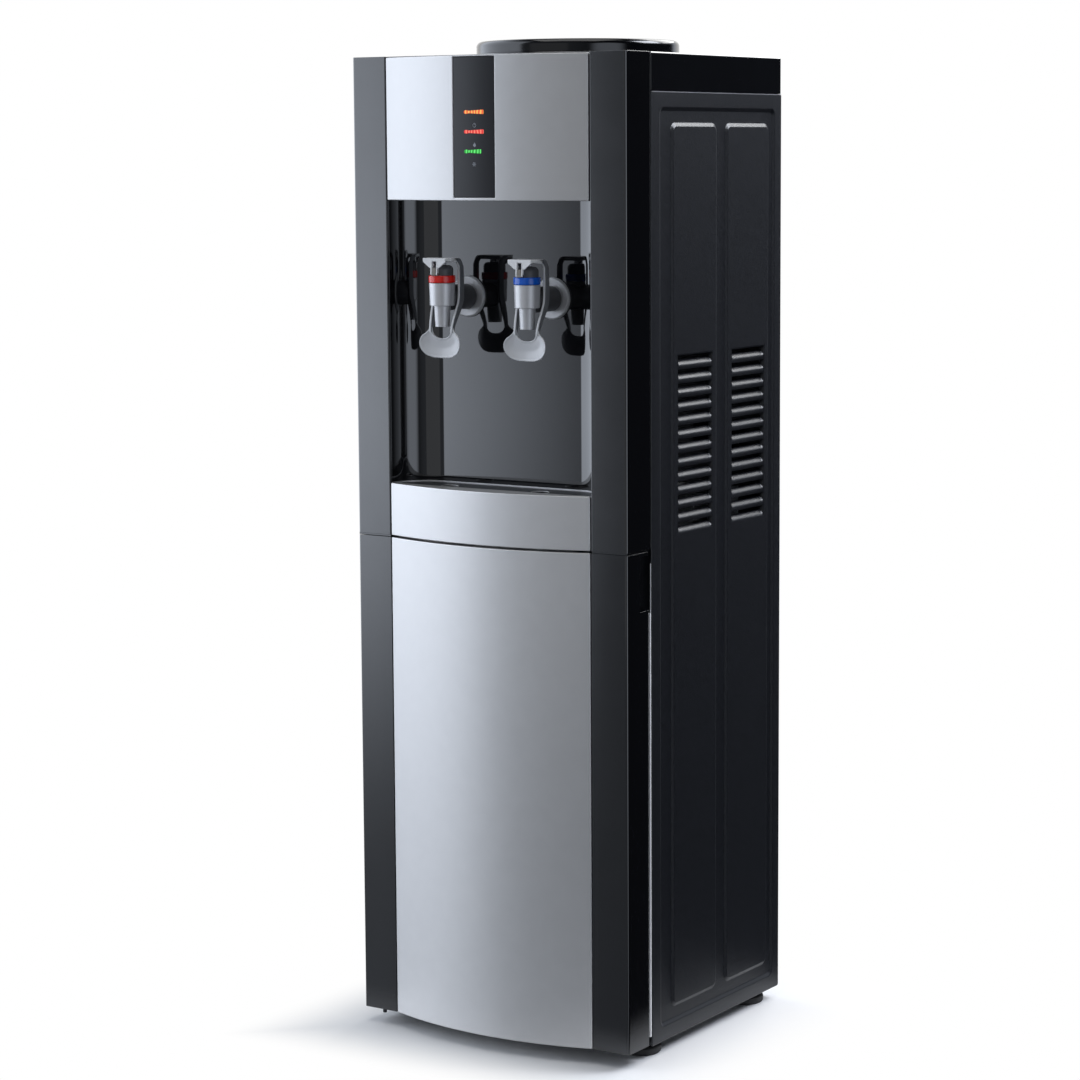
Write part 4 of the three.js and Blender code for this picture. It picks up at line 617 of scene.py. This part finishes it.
bm = bmesh.new()
prism(bm, recess_curve(WALL, CARRIER_Y) + recess_curve(0, CARRIER_Y)[::-1], SHELF_Z - WALL, CEILING_Z + WALL)
for low in (CEILING_Z, SHELF_Z - WALL):
    prism(bm, bowed_plate(BOW_INSET, recess_curve(0.01, CARRIER_Y)), low, low + WALL)
for low, high in ((CEILING_Z + 2, COVER_TOP - 2.8), (TRAY_Z + 2.8, SHELF_Z - 1)):
    box(bm, (-CARRIER_X, CARRIER_X), (CARRIER_Y, CARRIER_Y + WALL), (low, high))
box(bm, (0.3 - INNER_X, INNER_X - 0.3), (CARRIER_Y, BEZEL_BACK), (COVER_TOP - WALL, COVER_TOP))
emit(bm, "recess_wall", GLOSS, replaces=("recess_liner",), bevel=0.5, angle=60, sharp=50)

bm = bmesh.new()
prism(bm, bowed_plate(BOW_INSET, recess_curve(-0.3, CARRIER_Y)), PLATE_Z, PLATE_Z + 2,
      holes=[circle(DRIP_HOLE_R, x, y, 40) for x, y in DRIP_HOLES])
emit(bm, "drip_plate_fine", TRAY, "drip_plate", ("drip_plate",), bevel=0.45, angle=50)
for k, (x, y) in enumerate(DRIP_HOLES):
    turned("drip_ring_%d" % k, DRIP_RING, (x, y, PLATE_Z + 2), SILVER_EDGE, "drip_plate", segments=48)
    # A black cup under each hole paints the hole's shade.
    turned("drip_cup_%d" % k, DRIP_CUP, (x, y, PLATE_Z + 2), SHADE_BLACK, "drip_plate", segments=48)
bm = bmesh.new()
rim_y = PILLAR_Y + 1.75
prism(bm, recess_curve(-0.35, rim_y) + recess_curve(-1.3, rim_y)[::-1], PLATE_Z + 1.6, PLATE_Z + 3.4)
emit(bm, "drip_rim", SILVER_EDGE, "drip_plate", bevel=0.3, angle=50)

# Taps, measured from the middle of each sleeve.
# ARM is a lever arm's run, as (inner x, front y, rear y, z); EDGE and NOTCH are half the paddle's outline.
ARM = [(11.0, -3.6, 0.4, -25.5), (11.3, -3.1, 1.4, -20.5), (12.0, -0.8, 5.5, -12), (12.9, 2.5, 10.5, -3),
       (13.25, 6, 14, 8), (13.25, 6.5, 14, 34), (13.25, 5.5, 12.5, 39), (13.25, 1, 10, 43),
       (13.25, -2, 7, 45)]
ARM_W, ARM_EDGE = 2.5, 0.7
EDGE = [(0, -49.9), (8.5, -49.7), (15.5, -47.6), (20.8, -43.2), (23.3, -37.6), (23.0, -32.6), (20.8, -28.6),
        (17.2, -25.8), (14.6, -23.2), (13.8, -20.5)]
NOTCH = [(0, -49.9), (0, -31), (4.8, -30.4), (8.6, -28.2), (10.6, -24.6), (11.3, -20.5)]
PADDLE_ROWS, PADDLE_COLS, NOTCH_ROWS, LOW_EDGE_ROWS = 44, 18, 18, 10
PADDLE_Y, PADDLE_BEND, PADDLE_HALF = 4.2, 4.6, 22.7


def spline(points, steps):
    """A smooth run through points, each a tuple of any length."""
    out = []
    last = len(points) - 1
    for i in range(last):
        p = [points[max(0, i - 1)], points[i], points[i + 1], points[min(last, i + 2)]]
        for k in range(steps):
            t = k / steps
            out.append(tuple(0.5 * (2 * b + (c - a) * t + (2 * a - 5 * b + 4 * c - d) * t * t +
                                    (3 * b - a - 3 * c + d) * t ** 3) for a, b, c, d in zip(*p)))
    return [*out, tuple(points[-1])]


def spread(points, count):
    """Points moved along their own line so that they lie evenly."""
    lengths = [0.0]
    for a, b in zip(points, points[1:]):
        lengths.append(lengths[-1] + math.dist(a, b))
    out = []
    k = 0
    for i in range(count + 1):
        want = lengths[-1] * i / count
        while k < len(points) - 2 and lengths[k + 1] < want:
            k += 1
        t = (want - lengths[k]) / max(1e-9, lengths[k + 1] - lengths[k])
        out.append(tuple(a + (b - a) * t for a, b in zip(points[k], points[k + 1])))
    return out


def gap_to(line, x, z):
    """How far a point lies from a line of points."""
    best = 1e9
    for (ax, az), (bx, bz) in zip(line, line[1:]):
        dx, dz = bx - ax, bz - az
        t = max(0, min(1, ((x - ax) * dx + (z - az) * dz) / max(1e-9, dx * dx + dz * dz)))
        best = min(best, math.hypot(x - ax - dx * t, z - az - dz * t))
    return best


def ease(t):
    """A smooth step that stays at 0 before 0 and at 1 after 1."""
    t = max(0, min(1, t))
    return t * t * (3 - 2 * t)


def paddle_front(d):
    """The front by the distance from the edge: a rounded rim, a step down from it and a shallow dish."""
    return -4.9 - 0.5 * ease(d / 0.6) + 0.8 * ease((d - 0.9) / 1.1) + 1.0 * ease((d - 1.8) / 9)


def paddle_back(d):
    """The back by the distance from the edge: a rounded rim and a slight dome."""
    return -3.9 + 0.5 * ease(d / 0.7) + 1.1 * ease(d / 9)


def paddle(bm):
    """The spoon, bent back towards its ends, as two sheets and the faces that join their edges."""
    rows, cols, mid_rows = PADDLE_ROWS, PADDLE_COLS, PADDLE_ROWS - NOTCH_ROWS
    outer = spread(EDGE[:2], LOW_EDGE_ROWS)[:-1] + spread(spline(EDGE[1:], 6), rows - LOW_EDGE_ROWS)
    inner = spread(NOTCH[:2], mid_rows)[:-1] + spread(spline(NOTCH[1:], 6), NOTCH_ROWS)
    edge_line = outer + [NOTCH[-1]] + inner[::-1][:NOTCH_ROWS]
    for side in (-1, 1):
        sheets = []
        for depth in (paddle_front, paddle_back):
            grid = []
            for a, b in zip(inner, outer):
                row = []
                for k in range(cols + 1):
                    x, z = [p + (q - p) * (k / cols) for p, q in zip(a, b)]
                    y = depth(gap_to(edge_line, x, z)) + PADDLE_Y - PADDLE_BEND * (x / PADDLE_HALF) ** 2
                    row.append(bm.verts.new((side * x, y, z)))
                grid.append(row)
            sheets.append(grid)
            strips_between(bm, grid)
        rims = [[g[i][cols] for i in range(rows + 1)] + [g[rows][k] for k in range(cols - 1, -1, -1)] +
                [g[i][0] for i in range(rows - 1, mid_rows - 1, -1)] for g in sheets]
        starts = [[g[0][k] for k in range(cols)] for g in sheets]
        strips_between(bm, rims)
        strips_between(bm, starts)
        bm.faces.new((starts[0][-1], rims[0][0], rims[1][0], starts[1][-1]))


HEAD_PLATE = fillet([(-13, -13, 1.2), (13, -13, 1.2), (15.75, -6.5, 2), (15.75, 6, 3), (-15.75, 6, 3),
                     (-15.75, -6.5, 2)], 1, 5)
POST = fillet([(-13.8, 29.1, 1.2), (-11, 29.1, 1.2), (-10.6, 42.6), (-13.0, 42.6)], 0, 4)
GUSSET = [(3.2, 42.8), (3.2, 36.0, 0.4), (5.5, 36.2, 1), (12.8, 41.6, 0.5), (12.9, 42.8)]


def lever(tap, place, body):
    """A lever: its head with posts and gussets, the pins, the two arms and the spoon between them."""
    head = bmesh.new()
    prism(head, HEAD_PLATE, 42.4, 45.2)
    prism(head, rect(-15.2, 15.2, 41.2, 43), 1.0, 6.0, axis="y")
    for side in (-1, 1):
        prism(head, POST, *both(side, 2.5, 4.0), axis="x")
        prism(head, fillet([(side * u, *rest) for u, *rest in GUSSET], 0, 4), -13, -11.3, axis="y")
        prism(head, rect(-1.2, 1.2, 38.6, 43), *both(side, 2.3, 3.5), axis="x")
    pins = bmesh.new()
    for radius, half, middle in ((1, 4, (0, -12.4, 30.4)), (0.9, 3.4, (0, 0, 39.8))):
        lathe(pins, [(0.01, -half), (radius, -half), (radius, half), (0.01, half)], middle, "x", 16)
    arms = bmesh.new()
    for side in (-1, 1):
        rows = []
        for x, y0, y1, z in spline(ARM, 6):
            u0, u1 = side * x, side * (x + ARM_W)
            rows.append(row_at(arms, fillet([(u0, y0), (u1, y0), (u1, y1), (u0, y1)], ARM_EDGE, 3), z))
        rings_between(arms, rows)
        arms.faces.new(rows[0])
        arms.faces.new(rows[-1])
    spoon = bmesh.new()
    paddle(spoon)
    pieces = [emit(head, tap + "_lever_head", WHITE, body, (tap + "_tap_lever",), bevel=0.35, angle=40),
              emit(pins, tap + "_lever_pins", PIN_STEEL, body),
              emit(arms, tap + "_lever_arms", LEVER, body, sharp=60),
              emit(spoon, tap + "_lever_spoon", LEVER, body, sharp=60)]
    for piece in pieces:
        piece.location = Vector(place) * MM
    # The arms' faces that turn sideways take the dark grey: painted shade on the same plastic.
    arm_mesh = pieces[2].data
    arm_mesh.materials.append(LEVER_SIDE_SHADE)
    for face in arm_mesh.polygons:
        face.material_index = 1 if abs(face.normal.x) > 0.75 else 0


TO_WALL = RECESS_BACK - TAP_Y
SLEEVE = [(0.01, 8), (4, 8), *fillet([(4, -19.8), (4.2, -20, 0.1), (6.75, -20, 0.5), (7.9, 0, 0.3),
                                      (11.75, 0, 0.6), (12.4, 21.6, 0.5), (0.01, 21.6)], 0.1, 4, False)]
TAP_RING = fillet([(11.05, 21.9), (12.75, 21.9, 0.7), (12.75, 28.7, 0.9), (11.05, 28.7, 0.4)], 0, 5, False)
TAP_BONNET = fillet([(10.75, 21.9), (10.75, 38.3, 4.2), (0.01, 38.3)], 0, 8, False)
TAP_FLANGE = fillet([(10.7, TO_WALL - 2.2), (11.6, TO_WALL - 2.4, 0.4), (18.6, TO_WALL - 3.4, 0.8),
                     (20, TO_WALL - 1.8, 0.6), (20, TO_WALL - 0.3, 0.2), (10.7, TO_WALL - 0.3)],
                    0.3, 5, False)
TAP_COLLAR = fillet([(3, 5), (12, 5, 0.5), (12, TO_WALL - 3.6, 0.8), (10.4, TO_WALL - 3.6),
                     (10.4, TO_WALL + 7.8, 0.4), (4.2, TO_WALL + 7.8), (4.2, TO_WALL + 19.8, 0.3),
                     (3, TO_WALL + 19.8)], 0, 4, False)

for tap, side, ring_mat in (("hot", -1, RED), ("cold", 1, BLUE)):
    place = (side * TAP_X, TAP_Y, TAP_Z)
    along = (side * TAP_X, TAP_Y, TAP_Z + 7.1)
    lever(tap, place, tap + "_lever")
    turned(tap + "_sleeve", SLEEVE, place, SILVER_EDGE, replaces=(tap + "_tap_sleeve",))
    turned(tap + "_ring", TAP_RING, place, ring_mat, replaces=(tap + "_tap_ring",))
    turned(tap + "_bonnet", TAP_BONNET, place, BONNET, replaces=(tap + "_tap_bonnet",))
    bm = bmesh.new()
    box(bm, (-2.2, 2.2), (-13.6, 0), (29, 36))
    tongue = emit(bm, tap + "_tongue", TONGUE, bevel=0.5)
    tongue.location = Vector(place) * MM
    turned(tap + "_flange", TAP_FLANGE, along, FLANGE, replaces=(tap + "_tap_flange",), axis="y")
    turned(tap + "_collar", TAP_COLLAR, along, BONNET, replaces=(tap + "_tap_shank",), axis="y")
    refine(tap + "_tap_stem", STAINLESS, tap + "_stem", bevel=0.15)


# Side panels with pressed fields and louvres.
PANEL_X, PANEL_LOW, PANEL_TOP = 154.0, 13.0, 915.8
EMBOSS_Y, EMBOSS_Z = (PANEL_Y + 15, BACK_Y - 13), (26.0, PANEL_TOP - 14)
MARGIN_FRONT, MARGIN_MID, MARGIN_REAR, MARGIN_END = 26, 23.4, 14.2, 18.5
FIELD_W = (EMBOSS_Y[1] - EMBOSS_Y[0] - MARGIN_FRONT - MARGIN_MID - MARGIN_REAR) / 2
FIELD_Z = (EMBOSS_Z[0] + MARGIN_END, EMBOSS_Z[1] - MARGIN_END)
FIELDS = [EMBOSS_Y[0] + MARGIN_FRONT, EMBOSS_Y[1] - MARGIN_REAR - FIELD_W]
# A pressed slope is RAMP wide and PRESSED deep; SLOPE gives (share of the width, share of the depth).
RAMP, PRESSED = 4.2, -1.95
SLOPE = ((0, 0), (0.1, 0.03), (0.28, 0.24), (0.72, 0.76), (0.9, 0.97), (1, 1))
LOUVRES, LOUVRE_PITCH, LOUVRE_MID = 13, 13.2, 585.5
LOUVRE_HALF, LOUVRE_H, LOUVRE_DEEP, GUARD = (FIELD_W - 14) / 2, 9.5, 4.5, 1.8


def rounded(y, z, r, by=0.0, steps=8):
    """A rectangle with round corners, grown outwards by a distance."""
    return fillet(rect(y[0] - by, y[1] + by, z[0] - by, z[1] + by), r, steps)


def u_line(half, low, high, r):
    """A letter U from its left top down, along the bottom and up its right side."""
    return fillet([(-half, high), (-half, low), (half, low), (half, high)], r, 6, closed=False)


def side_panel(name, side, replaces):
    """A steel side: rolled edges, pressed border, two raised fields, louvres, front fold and a pale top-edge
    strip for the bare edge with its painted highlight line.
    """
    bm = bmesh.new()

    def ring(outline, out):
        """Vertices along an outline on the panel, moved outwards."""
        return [bm.verts.new((side * (PANEL_X + out), y, z)) for y, z in outline]

    edge = rounded((PANEL_Y + SHEET, BACK_Y - SHEET), (PANEL_LOW, PANEL_TOP - 1.0), 0.8, steps=1)
    rolled = [ring(edge, 0)]
    for k in (1, 2, 3):
        t = math.pi / 2 * k / 3
        rolled.append(ring(offset(edge, SHEET * math.sin(t)), -SHEET + SHEET * math.cos(t)))
    rings_between(bm, rolled)
    rings_between(bm, [rolled[-1], ring([(v.co.y, v.co.z) for v in rolled[-1]], -4)])
    border = [ring(rounded(EMBOSS_Y, EMBOSS_Z, 7 - RAMP * t, -RAMP * t), PRESSED * drop) for t, drop in SLOPE]
    fill_between(bm, rolled[0], [border[0]])
    rings_between(bm, border)
    pads = []
    for start in FIELDS:
        span = (start, start + FIELD_W)
        rows = [ring(rounded(span, FIELD_Z, 4.5 + RAMP * (1 - t), RAMP * (1 - t)), PRESSED * (1 - rise))
                for t, rise in SLOPE]
        rings_between(bm, rows)
        pads.append(rows)
    fill_between(bm, border[-1], [rows[0] for rows in pads])
    for start, rows in zip(FIELDS, pads):
        mid_y = start + FIELD_W / 2
        mouths = []
        for i in range(LOUVRES):
            z = LOUVRE_MID + (i - LOUVRES // 2) * LOUVRE_PITCH
            low, high = z - LOUVRE_H / 2, z + LOUVRE_H / 2
            scoop = []
            for t in [k / 5 for k in range(6)]:
                line = u_line(LOUVRE_HALF - 1.2 * t, low + 0.54 * LOUVRE_H * t, high, 3.6 - 2.0 * t)
                scoop.append(ring([(mid_y + u, v) for u, v in line], -LOUVRE_DEEP * t * (0.55 + 0.45 * t)))
            strips_between(bm, scoop)
            mouths.append(scoop[0])
        reach = LOUVRES // 2 * LOUVRE_PITCH + LOUVRE_H / 2
        guard = ring(rounded((mid_y - LOUVRE_HALF, mid_y + LOUVRE_HALF),
                             (LOUVRE_MID - reach, LOUVRE_MID + reach), 0, GUARD), 0)
        fill_between(bm, rows[-1], [guard])
        fill_between(bm, guard, mouths)
    bmesh.ops.recalc_face_normals(bm, faces=bm.faces)
    lean = sum(f.normal.x * f.calc_area() for f in bm.faces)
    if lean * side < 0:
        bmesh.ops.reverse_faces(bm, faces=bm.faces)
    obj = to_object(bm, name, [STEEL], 38)
    thick = obj.modifiers.new("sheet", "SOLIDIFY")
    thick.thickness, thick.offset = SHEET * MM, -1
    weigh_normals(obj, 100)
    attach(obj, "cabinet")
    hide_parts(*replaces)
    bm = bmesh.new()
    box(bm, both(side, PANEL_X - 15, PANEL_X - SHEET), (PANEL_Y, PANEL_Y + SHEET), (14, PANEL_TOP - 1))
    emit(bm, name + "_fold", STEEL, bevel=0.3)
    # A pale strip along the top edge stands for the bare edge and paints its highlight line.
    bm = bmesh.new()
    box(bm, both(side, PANEL_X - 1.1, PANEL_X + 0.2), (PANEL_Y + 1, BACK_Y - 1),
        (PANEL_TOP - 0.85, PANEL_TOP))
    emit(bm, name + "_edge_painted_highlight", PALE_EDGE_HIGHLIGHT, bevel=0.15)


side_panel("panel_right", 1, ("right_side_panel",))
side_panel("panel_left", -1, ("left_side_panel",))

# The pale seal at the door's right edge is wide below and a thin line beside the notch above.
SEAL_X, SEAL_BACK, SEAL_STEP_Z = 153.7, BEZEL_BACK + 2.3, 431
bm = bmesh.new()
box(bm, (SEAL_X - 7.2, SEAL_X), (BEZEL_BACK + 0.25, SEAL_BACK), (22, SEAL_STEP_Z))
box(bm, (SEAL_X - 0.8, SEAL_X), (SEAL_BACK - 0.7, SEAL_BACK), (SEAL_STEP_Z - 0.5, 478))
emit(bm, "door_seal", WHITE, "door", bevel=0.25)

# A dark housing round each rocker switch, on the rear panel's inner side, keeps light out of the gap; its dull
# black without sheen is painted shade.
SWITCH_X, SWITCH_Z, HOUSING_W, HOUSING_H = (78, 106), 576, 9, 12.5
HOUSING_FLOOR, HOUSING_SIDES = (129.4, 130.5), (130.6, 141.0)
bm = bmesh.new()
for x in SWITCH_X:
    outline = rect(x - HOUSING_W, x + HOUSING_W, SWITCH_Z - HOUSING_H, SWITCH_Z + HOUSING_H)
    prism(bm, outline, *HOUSING_FLOOR, "y")
    prism(bm, outline, *HOUSING_SIDES, "y", [rect(x - 8, x + 8, SWITCH_Z - 11, SWITCH_Z + 11)])
emit(bm, "switch_housings", SHADE_BLACK)

# Feet.
FOOT = fillet([(0.01, 0), (18.6, 0, 0.4), (20, 1.4, 1), (20, 6.4, 1.4), (17.6, 8, 0.8), (5, 8.6, 1), (5, 21),
               (0.01, 21)], 0, 5, False)
for end, y in (("front", -74.25), ("rear", 126.25)):
    for hand, x in (("left", -130), ("right", 130)):
        spot = end + "_" + hand
        turned("pad_" + spot, FOOT, (x, y, 0), RUBBER, spot + "_foot", ("foot_" + spot,), segments=72)

# The other pieces keep their CAD shape, with softened edges.
BODY_OF = {node: body for body, nodes in frame["record"]["behaviour"]["bodies"].items() for node in nodes}
REST = {
    STEEL: ("base_tray", "rear_panel", "hinge_bracket"),
    SATIN: ("door_frame",),
    GREY: ("cabinet_liner", "door_liner"),
    ZINC: ("mid_deck", "tank_shelf", "heater_band", "power_supply", "tap_clamp"),
    STAINLESS: ("cold_tank", "hot_tank"),
    FOAM: ("cold_insulation",),
    WHITE: ("cooling_module",),
    ALLOY: ("heat_sink",),
    DARK: ("power_inlet", "drip_tray", "fan_frame", "fan_impeller", "drain_cap"),
    HOSE: ("cold_hose", "hot_hose", "feed_hose"),
    RED: ("hot_switch",),
    GREEN: ("cold_switch",),
}
BEVELS = {"door_frame": 0.9, "rear_panel": 0.35, "base_tray": 0.35, "heat_sink": 0.15, "cold_tank": 0,
          "hot_tank": 0, "cold_hose": 0, "hot_hose": 0, "feed_hose": 0, "fan_impeller": 0.2,
          "door_liner": 0.8}
for mat, names in REST.items():
    # The switches' faces that turn into the cabinet take the dull black: painted shade.
    inner = SHADE_BLACK if mat in (RED, GREEN) else None
    for name in names:
        refine(name, mat, BODY_OF[name], BEVELS.get(name, 0.4), inner)

# Camera at the photo's angle.
YAW, PITCH, ROLL = math.radians(33.179), math.radians(7.018), math.radians(-0.312)
EYE, SENSOR, FOCAL, SHIFT = (1.57525, -2.42052, 0.86123), 36, 98.1, (-0.0190, -0.0245)
ahead = Vector((-math.sin(YAW) * math.cos(PITCH), math.cos(YAW) * math.cos(PITCH), -math.sin(PITCH)))
right = Vector((math.cos(YAW), math.sin(YAW), 0))
up = right.cross(ahead)
right, up = right * math.cos(ROLL) + up * math.sin(ROLL), up * math.cos(ROLL) - right * math.sin(ROLL)
turn = Matrix((right, up, -ahead)).transposed()
lens = bpy.data.cameras.new("photo_view")
lens.sensor_width, lens.lens = SENSOR, FOCAL
lens.shift_x, lens.shift_y = SHIFT
camera = bpy.data.objects.new("photo_view", lens)
camera.matrix_world = Matrix.Translation(EYE) @ turn.to_4x4()
bpy.context.scene.collection.objects.link(camera)
bpy.context.scene.camera = camera


# Studio.
def soft_light(name, azimuth, height, away, size, power, aim=(0, 0, 0.5), color=(1, 1, 1)):
    """An area light at an azimuth in degrees, 0 in front and growing towards the viewer's right."""
    t = math.radians(azimuth)
    place = Vector((away * math.sin(t), -away * math.cos(t), height))
    data = bpy.data.lights.new(name, "AREA")
    data.shape, data.size, data.size_y = "RECTANGLE", size[0], size[1]
    data.energy, data.color = power, color
    obj = bpy.data.objects.new(name, data)
    obj.location = place
    obj.rotation_euler = (Vector(aim) - place).to_track_quat("-Z", "Y").to_euler()
    bpy.context.scene.collection.objects.link(obj)


soft_light("soft_front", 0, 0.9, 3.0, (2.4, 2.0), 3, aim=(0, 0, 0.6))
soft_light("soft_top", 20, 3.4, 0.4, (2.4, 2.4), 34, aim=(0, 0, 0))
soft_light("soft_back", 172, 2.1, 1.9, (1.7, 1.1), 30, aim=(0, 0, 0.6))
soft_light("soft_right", 128, 2.2, 2.0, (1.2, 1.2), 54, aim=(0, 0, 0.9), color=(0.92, 0.96, 1.06))

world = bpy.data.worlds.new("studio")
bpy.context.scene.world = world
world.use_nodes = True
sky = world.node_tree
wn, wl = sky.nodes, sky.links


def toward(direction, low, high, to_low, to_high):
    """A value that rises as the world's direction nears a given one."""
    coord = wn.new("ShaderNodeTexCoord")
    dot = wn.new("ShaderNodeVectorMath")
    dot.operation = "DOT_PRODUCT"
    feed(dot, {1: direction})
    ramp = wn.new("ShaderNodeMapRange")
    ramp.interpolation_type = "SMOOTHSTEP"
    feed(ramp, {"From Min": low, "From Max": high, "To Min": to_low, "To Max": to_high})
    wl.new(coord.outputs["Generated"], dot.inputs[0])
    wl.new(dot.outputs["Value"], ramp.inputs["Value"])
    return ramp.outputs["Result"]


def combine(tree, operation, a, b, clamp=False):
    """One value made from two, by a sum, a product or the like."""
    node = tree.nodes.new("ShaderNodeMath")
    node.operation, node.use_clamp = operation, clamp
    tree.links.new(a, node.inputs[0])
    tree.links.new(b, node.inputs[1])
    return node.outputs["Value"]


UPWARDS = (0.0, 0.0, 1.0)
room = wn["Background"]
feed(room, {"Color": (0.85, 0.92, 1.04, 1)})
# The left wall is a tall bright screen with soft edges at the front and rear, below and above.
screen = toward((-0.825, 0.565, 0.0), -0.045, 0.05, 0.0, 2.8)
for limits in (((-0.966, -0.259, 0.0), 0.3, 0.7, 0.0, 1.0), (UPWARDS, -0.24, -0.08, 0.08, 1.0),
               (UPWARDS, -0.1, 0.06, 1.0, 0.78), (UPWARDS, 0.6, 0.9, 1.0, 0.0)):
    screen = combine(sky, "MULTIPLY", screen, toward(*limits))
front_wall = toward((0.0, -1.0, 0.0), 0.5, 0.92, 0.015, 0.215)
# Behind, the backdrop lights the slopes that face it; a soft panel hangs high at the rear right.
behind = combine(sky, "MULTIPLY", toward((-0.2, 0.98, 0.0), 0.88, 0.97, 0.0, 1.0),
                 toward(UPWARDS, -0.16, 0.0, 0.35, 1.0))
rear_soft = combine(sky, "MULTIPLY", toward((0.545, 0.838, 0.0), 0.75, 0.95, 0.0, 0.6),
                    toward(UPWARDS, 0.1, 0.25, 0.0, 1.0))
# A narrow strip at the right draws a thin line on the rounded front edges.
strip = toward((0.92, -0.39, 0.0), 0.92, 0.985, 0.0, 1.4)
total = screen
for part in (front_wall, behind, rear_soft, strip):
    total = combine(sky, "ADD", total, part)
wl.new(total, room.inputs["Strength"])
backdrop = wn.new("ShaderNodeBackground")
feed(backdrop, {"Color": (1, 1, 1, 1), "Strength": 1.0})
path = wn.new("ShaderNodeLightPath")
mirrored = combine(sky, "ADD", path.outputs["Is Glossy Ray"], path.outputs["Is Transmission Ray"], True)
mirrored = combine(sky, "MULTIPLY", mirrored, toward((-0.547, 0.837, 0.0), 0.75, 0.9, 0.0, 1.0))
seen = combine(sky, "ADD", path.outputs["Is Camera Ray"], mirrored, True)
choose = wn.new("ShaderNodeMixShader")
wl.new(seen, choose.inputs["Fac"])
wl.new(room.outputs["Background"], choose.inputs[1])
wl.new(backdrop.outputs["Background"], choose.inputs[2])
wl.new(choose.outputs["Shader"], wn["World Output"].inputs["Surface"])

# The floor is a pale sheet. It keeps the shadow close to the cooler and fades to the backdrop's white beyond.
FLOOR_HALF, FADE = 0.28, (-0.01, 0.1)
bm = bmesh.new()
bmesh.ops.create_grid(bm, x_segments=1, y_segments=1, size=FLOOR_HALF)
floor_mesh = bpy.data.meshes.new("floor")
bm.to_mesh(floor_mesh)
bm.free()
floor = bpy.data.objects.new("floor", floor_mesh)
bpy.context.scene.collection.objects.link(floor)
pale = surface("pale_floor", (0.93, 0.935, 0.94), 0.55, grain=200, bump=0.0, vary=0.004)
floor_mesh.materials.append(pale)
tree = pale.node_tree
coord = tree.nodes.new("ShaderNodeTexCoord")
outside = tree.nodes.new("ShaderNodeVectorMath")
outside.operation = "ABSOLUTE"
beyond = tree.nodes.new("ShaderNodeVectorMath")
beyond.operation = "SUBTRACT"
feed(beyond, {1: (HALF_W * MM, BACK_Y * MM, 0)})
split = tree.nodes.new("ShaderNodeSeparateXYZ")
tree.links.new(coord.outputs["Object"], outside.inputs[0])
tree.links.new(outside.outputs["Vector"], beyond.inputs[0])
tree.links.new(beyond.outputs["Vector"], split.inputs["Vector"])
fade = tree.nodes.new("ShaderNodeMapRange")
fade.interpolation_type = "SMOOTHSTEP"
feed(fade, {"From Min": FADE[0], "From Max": FADE[1]})
tree.links.new(combine(tree, "MAXIMUM", split.outputs["X"], split.outputs["Y"]), fade.inputs["Value"])
path = tree.nodes.new("ShaderNodeLightPath")
seen = combine(tree, "ADD", path.outputs["Is Camera Ray"], path.outputs["Is Transmission Ray"], True)
layer = tree.nodes["Principled BSDF"].outputs["BSDF"]
glossy = path.outputs["Is Glossy Ray"]
for ray, shader in ((seen, "ShaderNodeEmission"), (glossy, "ShaderNodeBsdfTransparent")):
    choose = tree.nodes.new("ShaderNodeMixShader")
    tree.links.new(combine(tree, "MULTIPLY", ray, fade.outputs["Result"]), choose.inputs["Fac"])
    tree.links.new(layer, choose.inputs[1])
    tree.links.new(tree.nodes.new(shader).outputs[0], choose.inputs[2])
    layer = choose.outputs["Shader"]
tree.links.new(layer, tree.nodes["Material Output"].inputs["Surface"])
bpy.context.scene.view_settings.view_transform = "Standard"
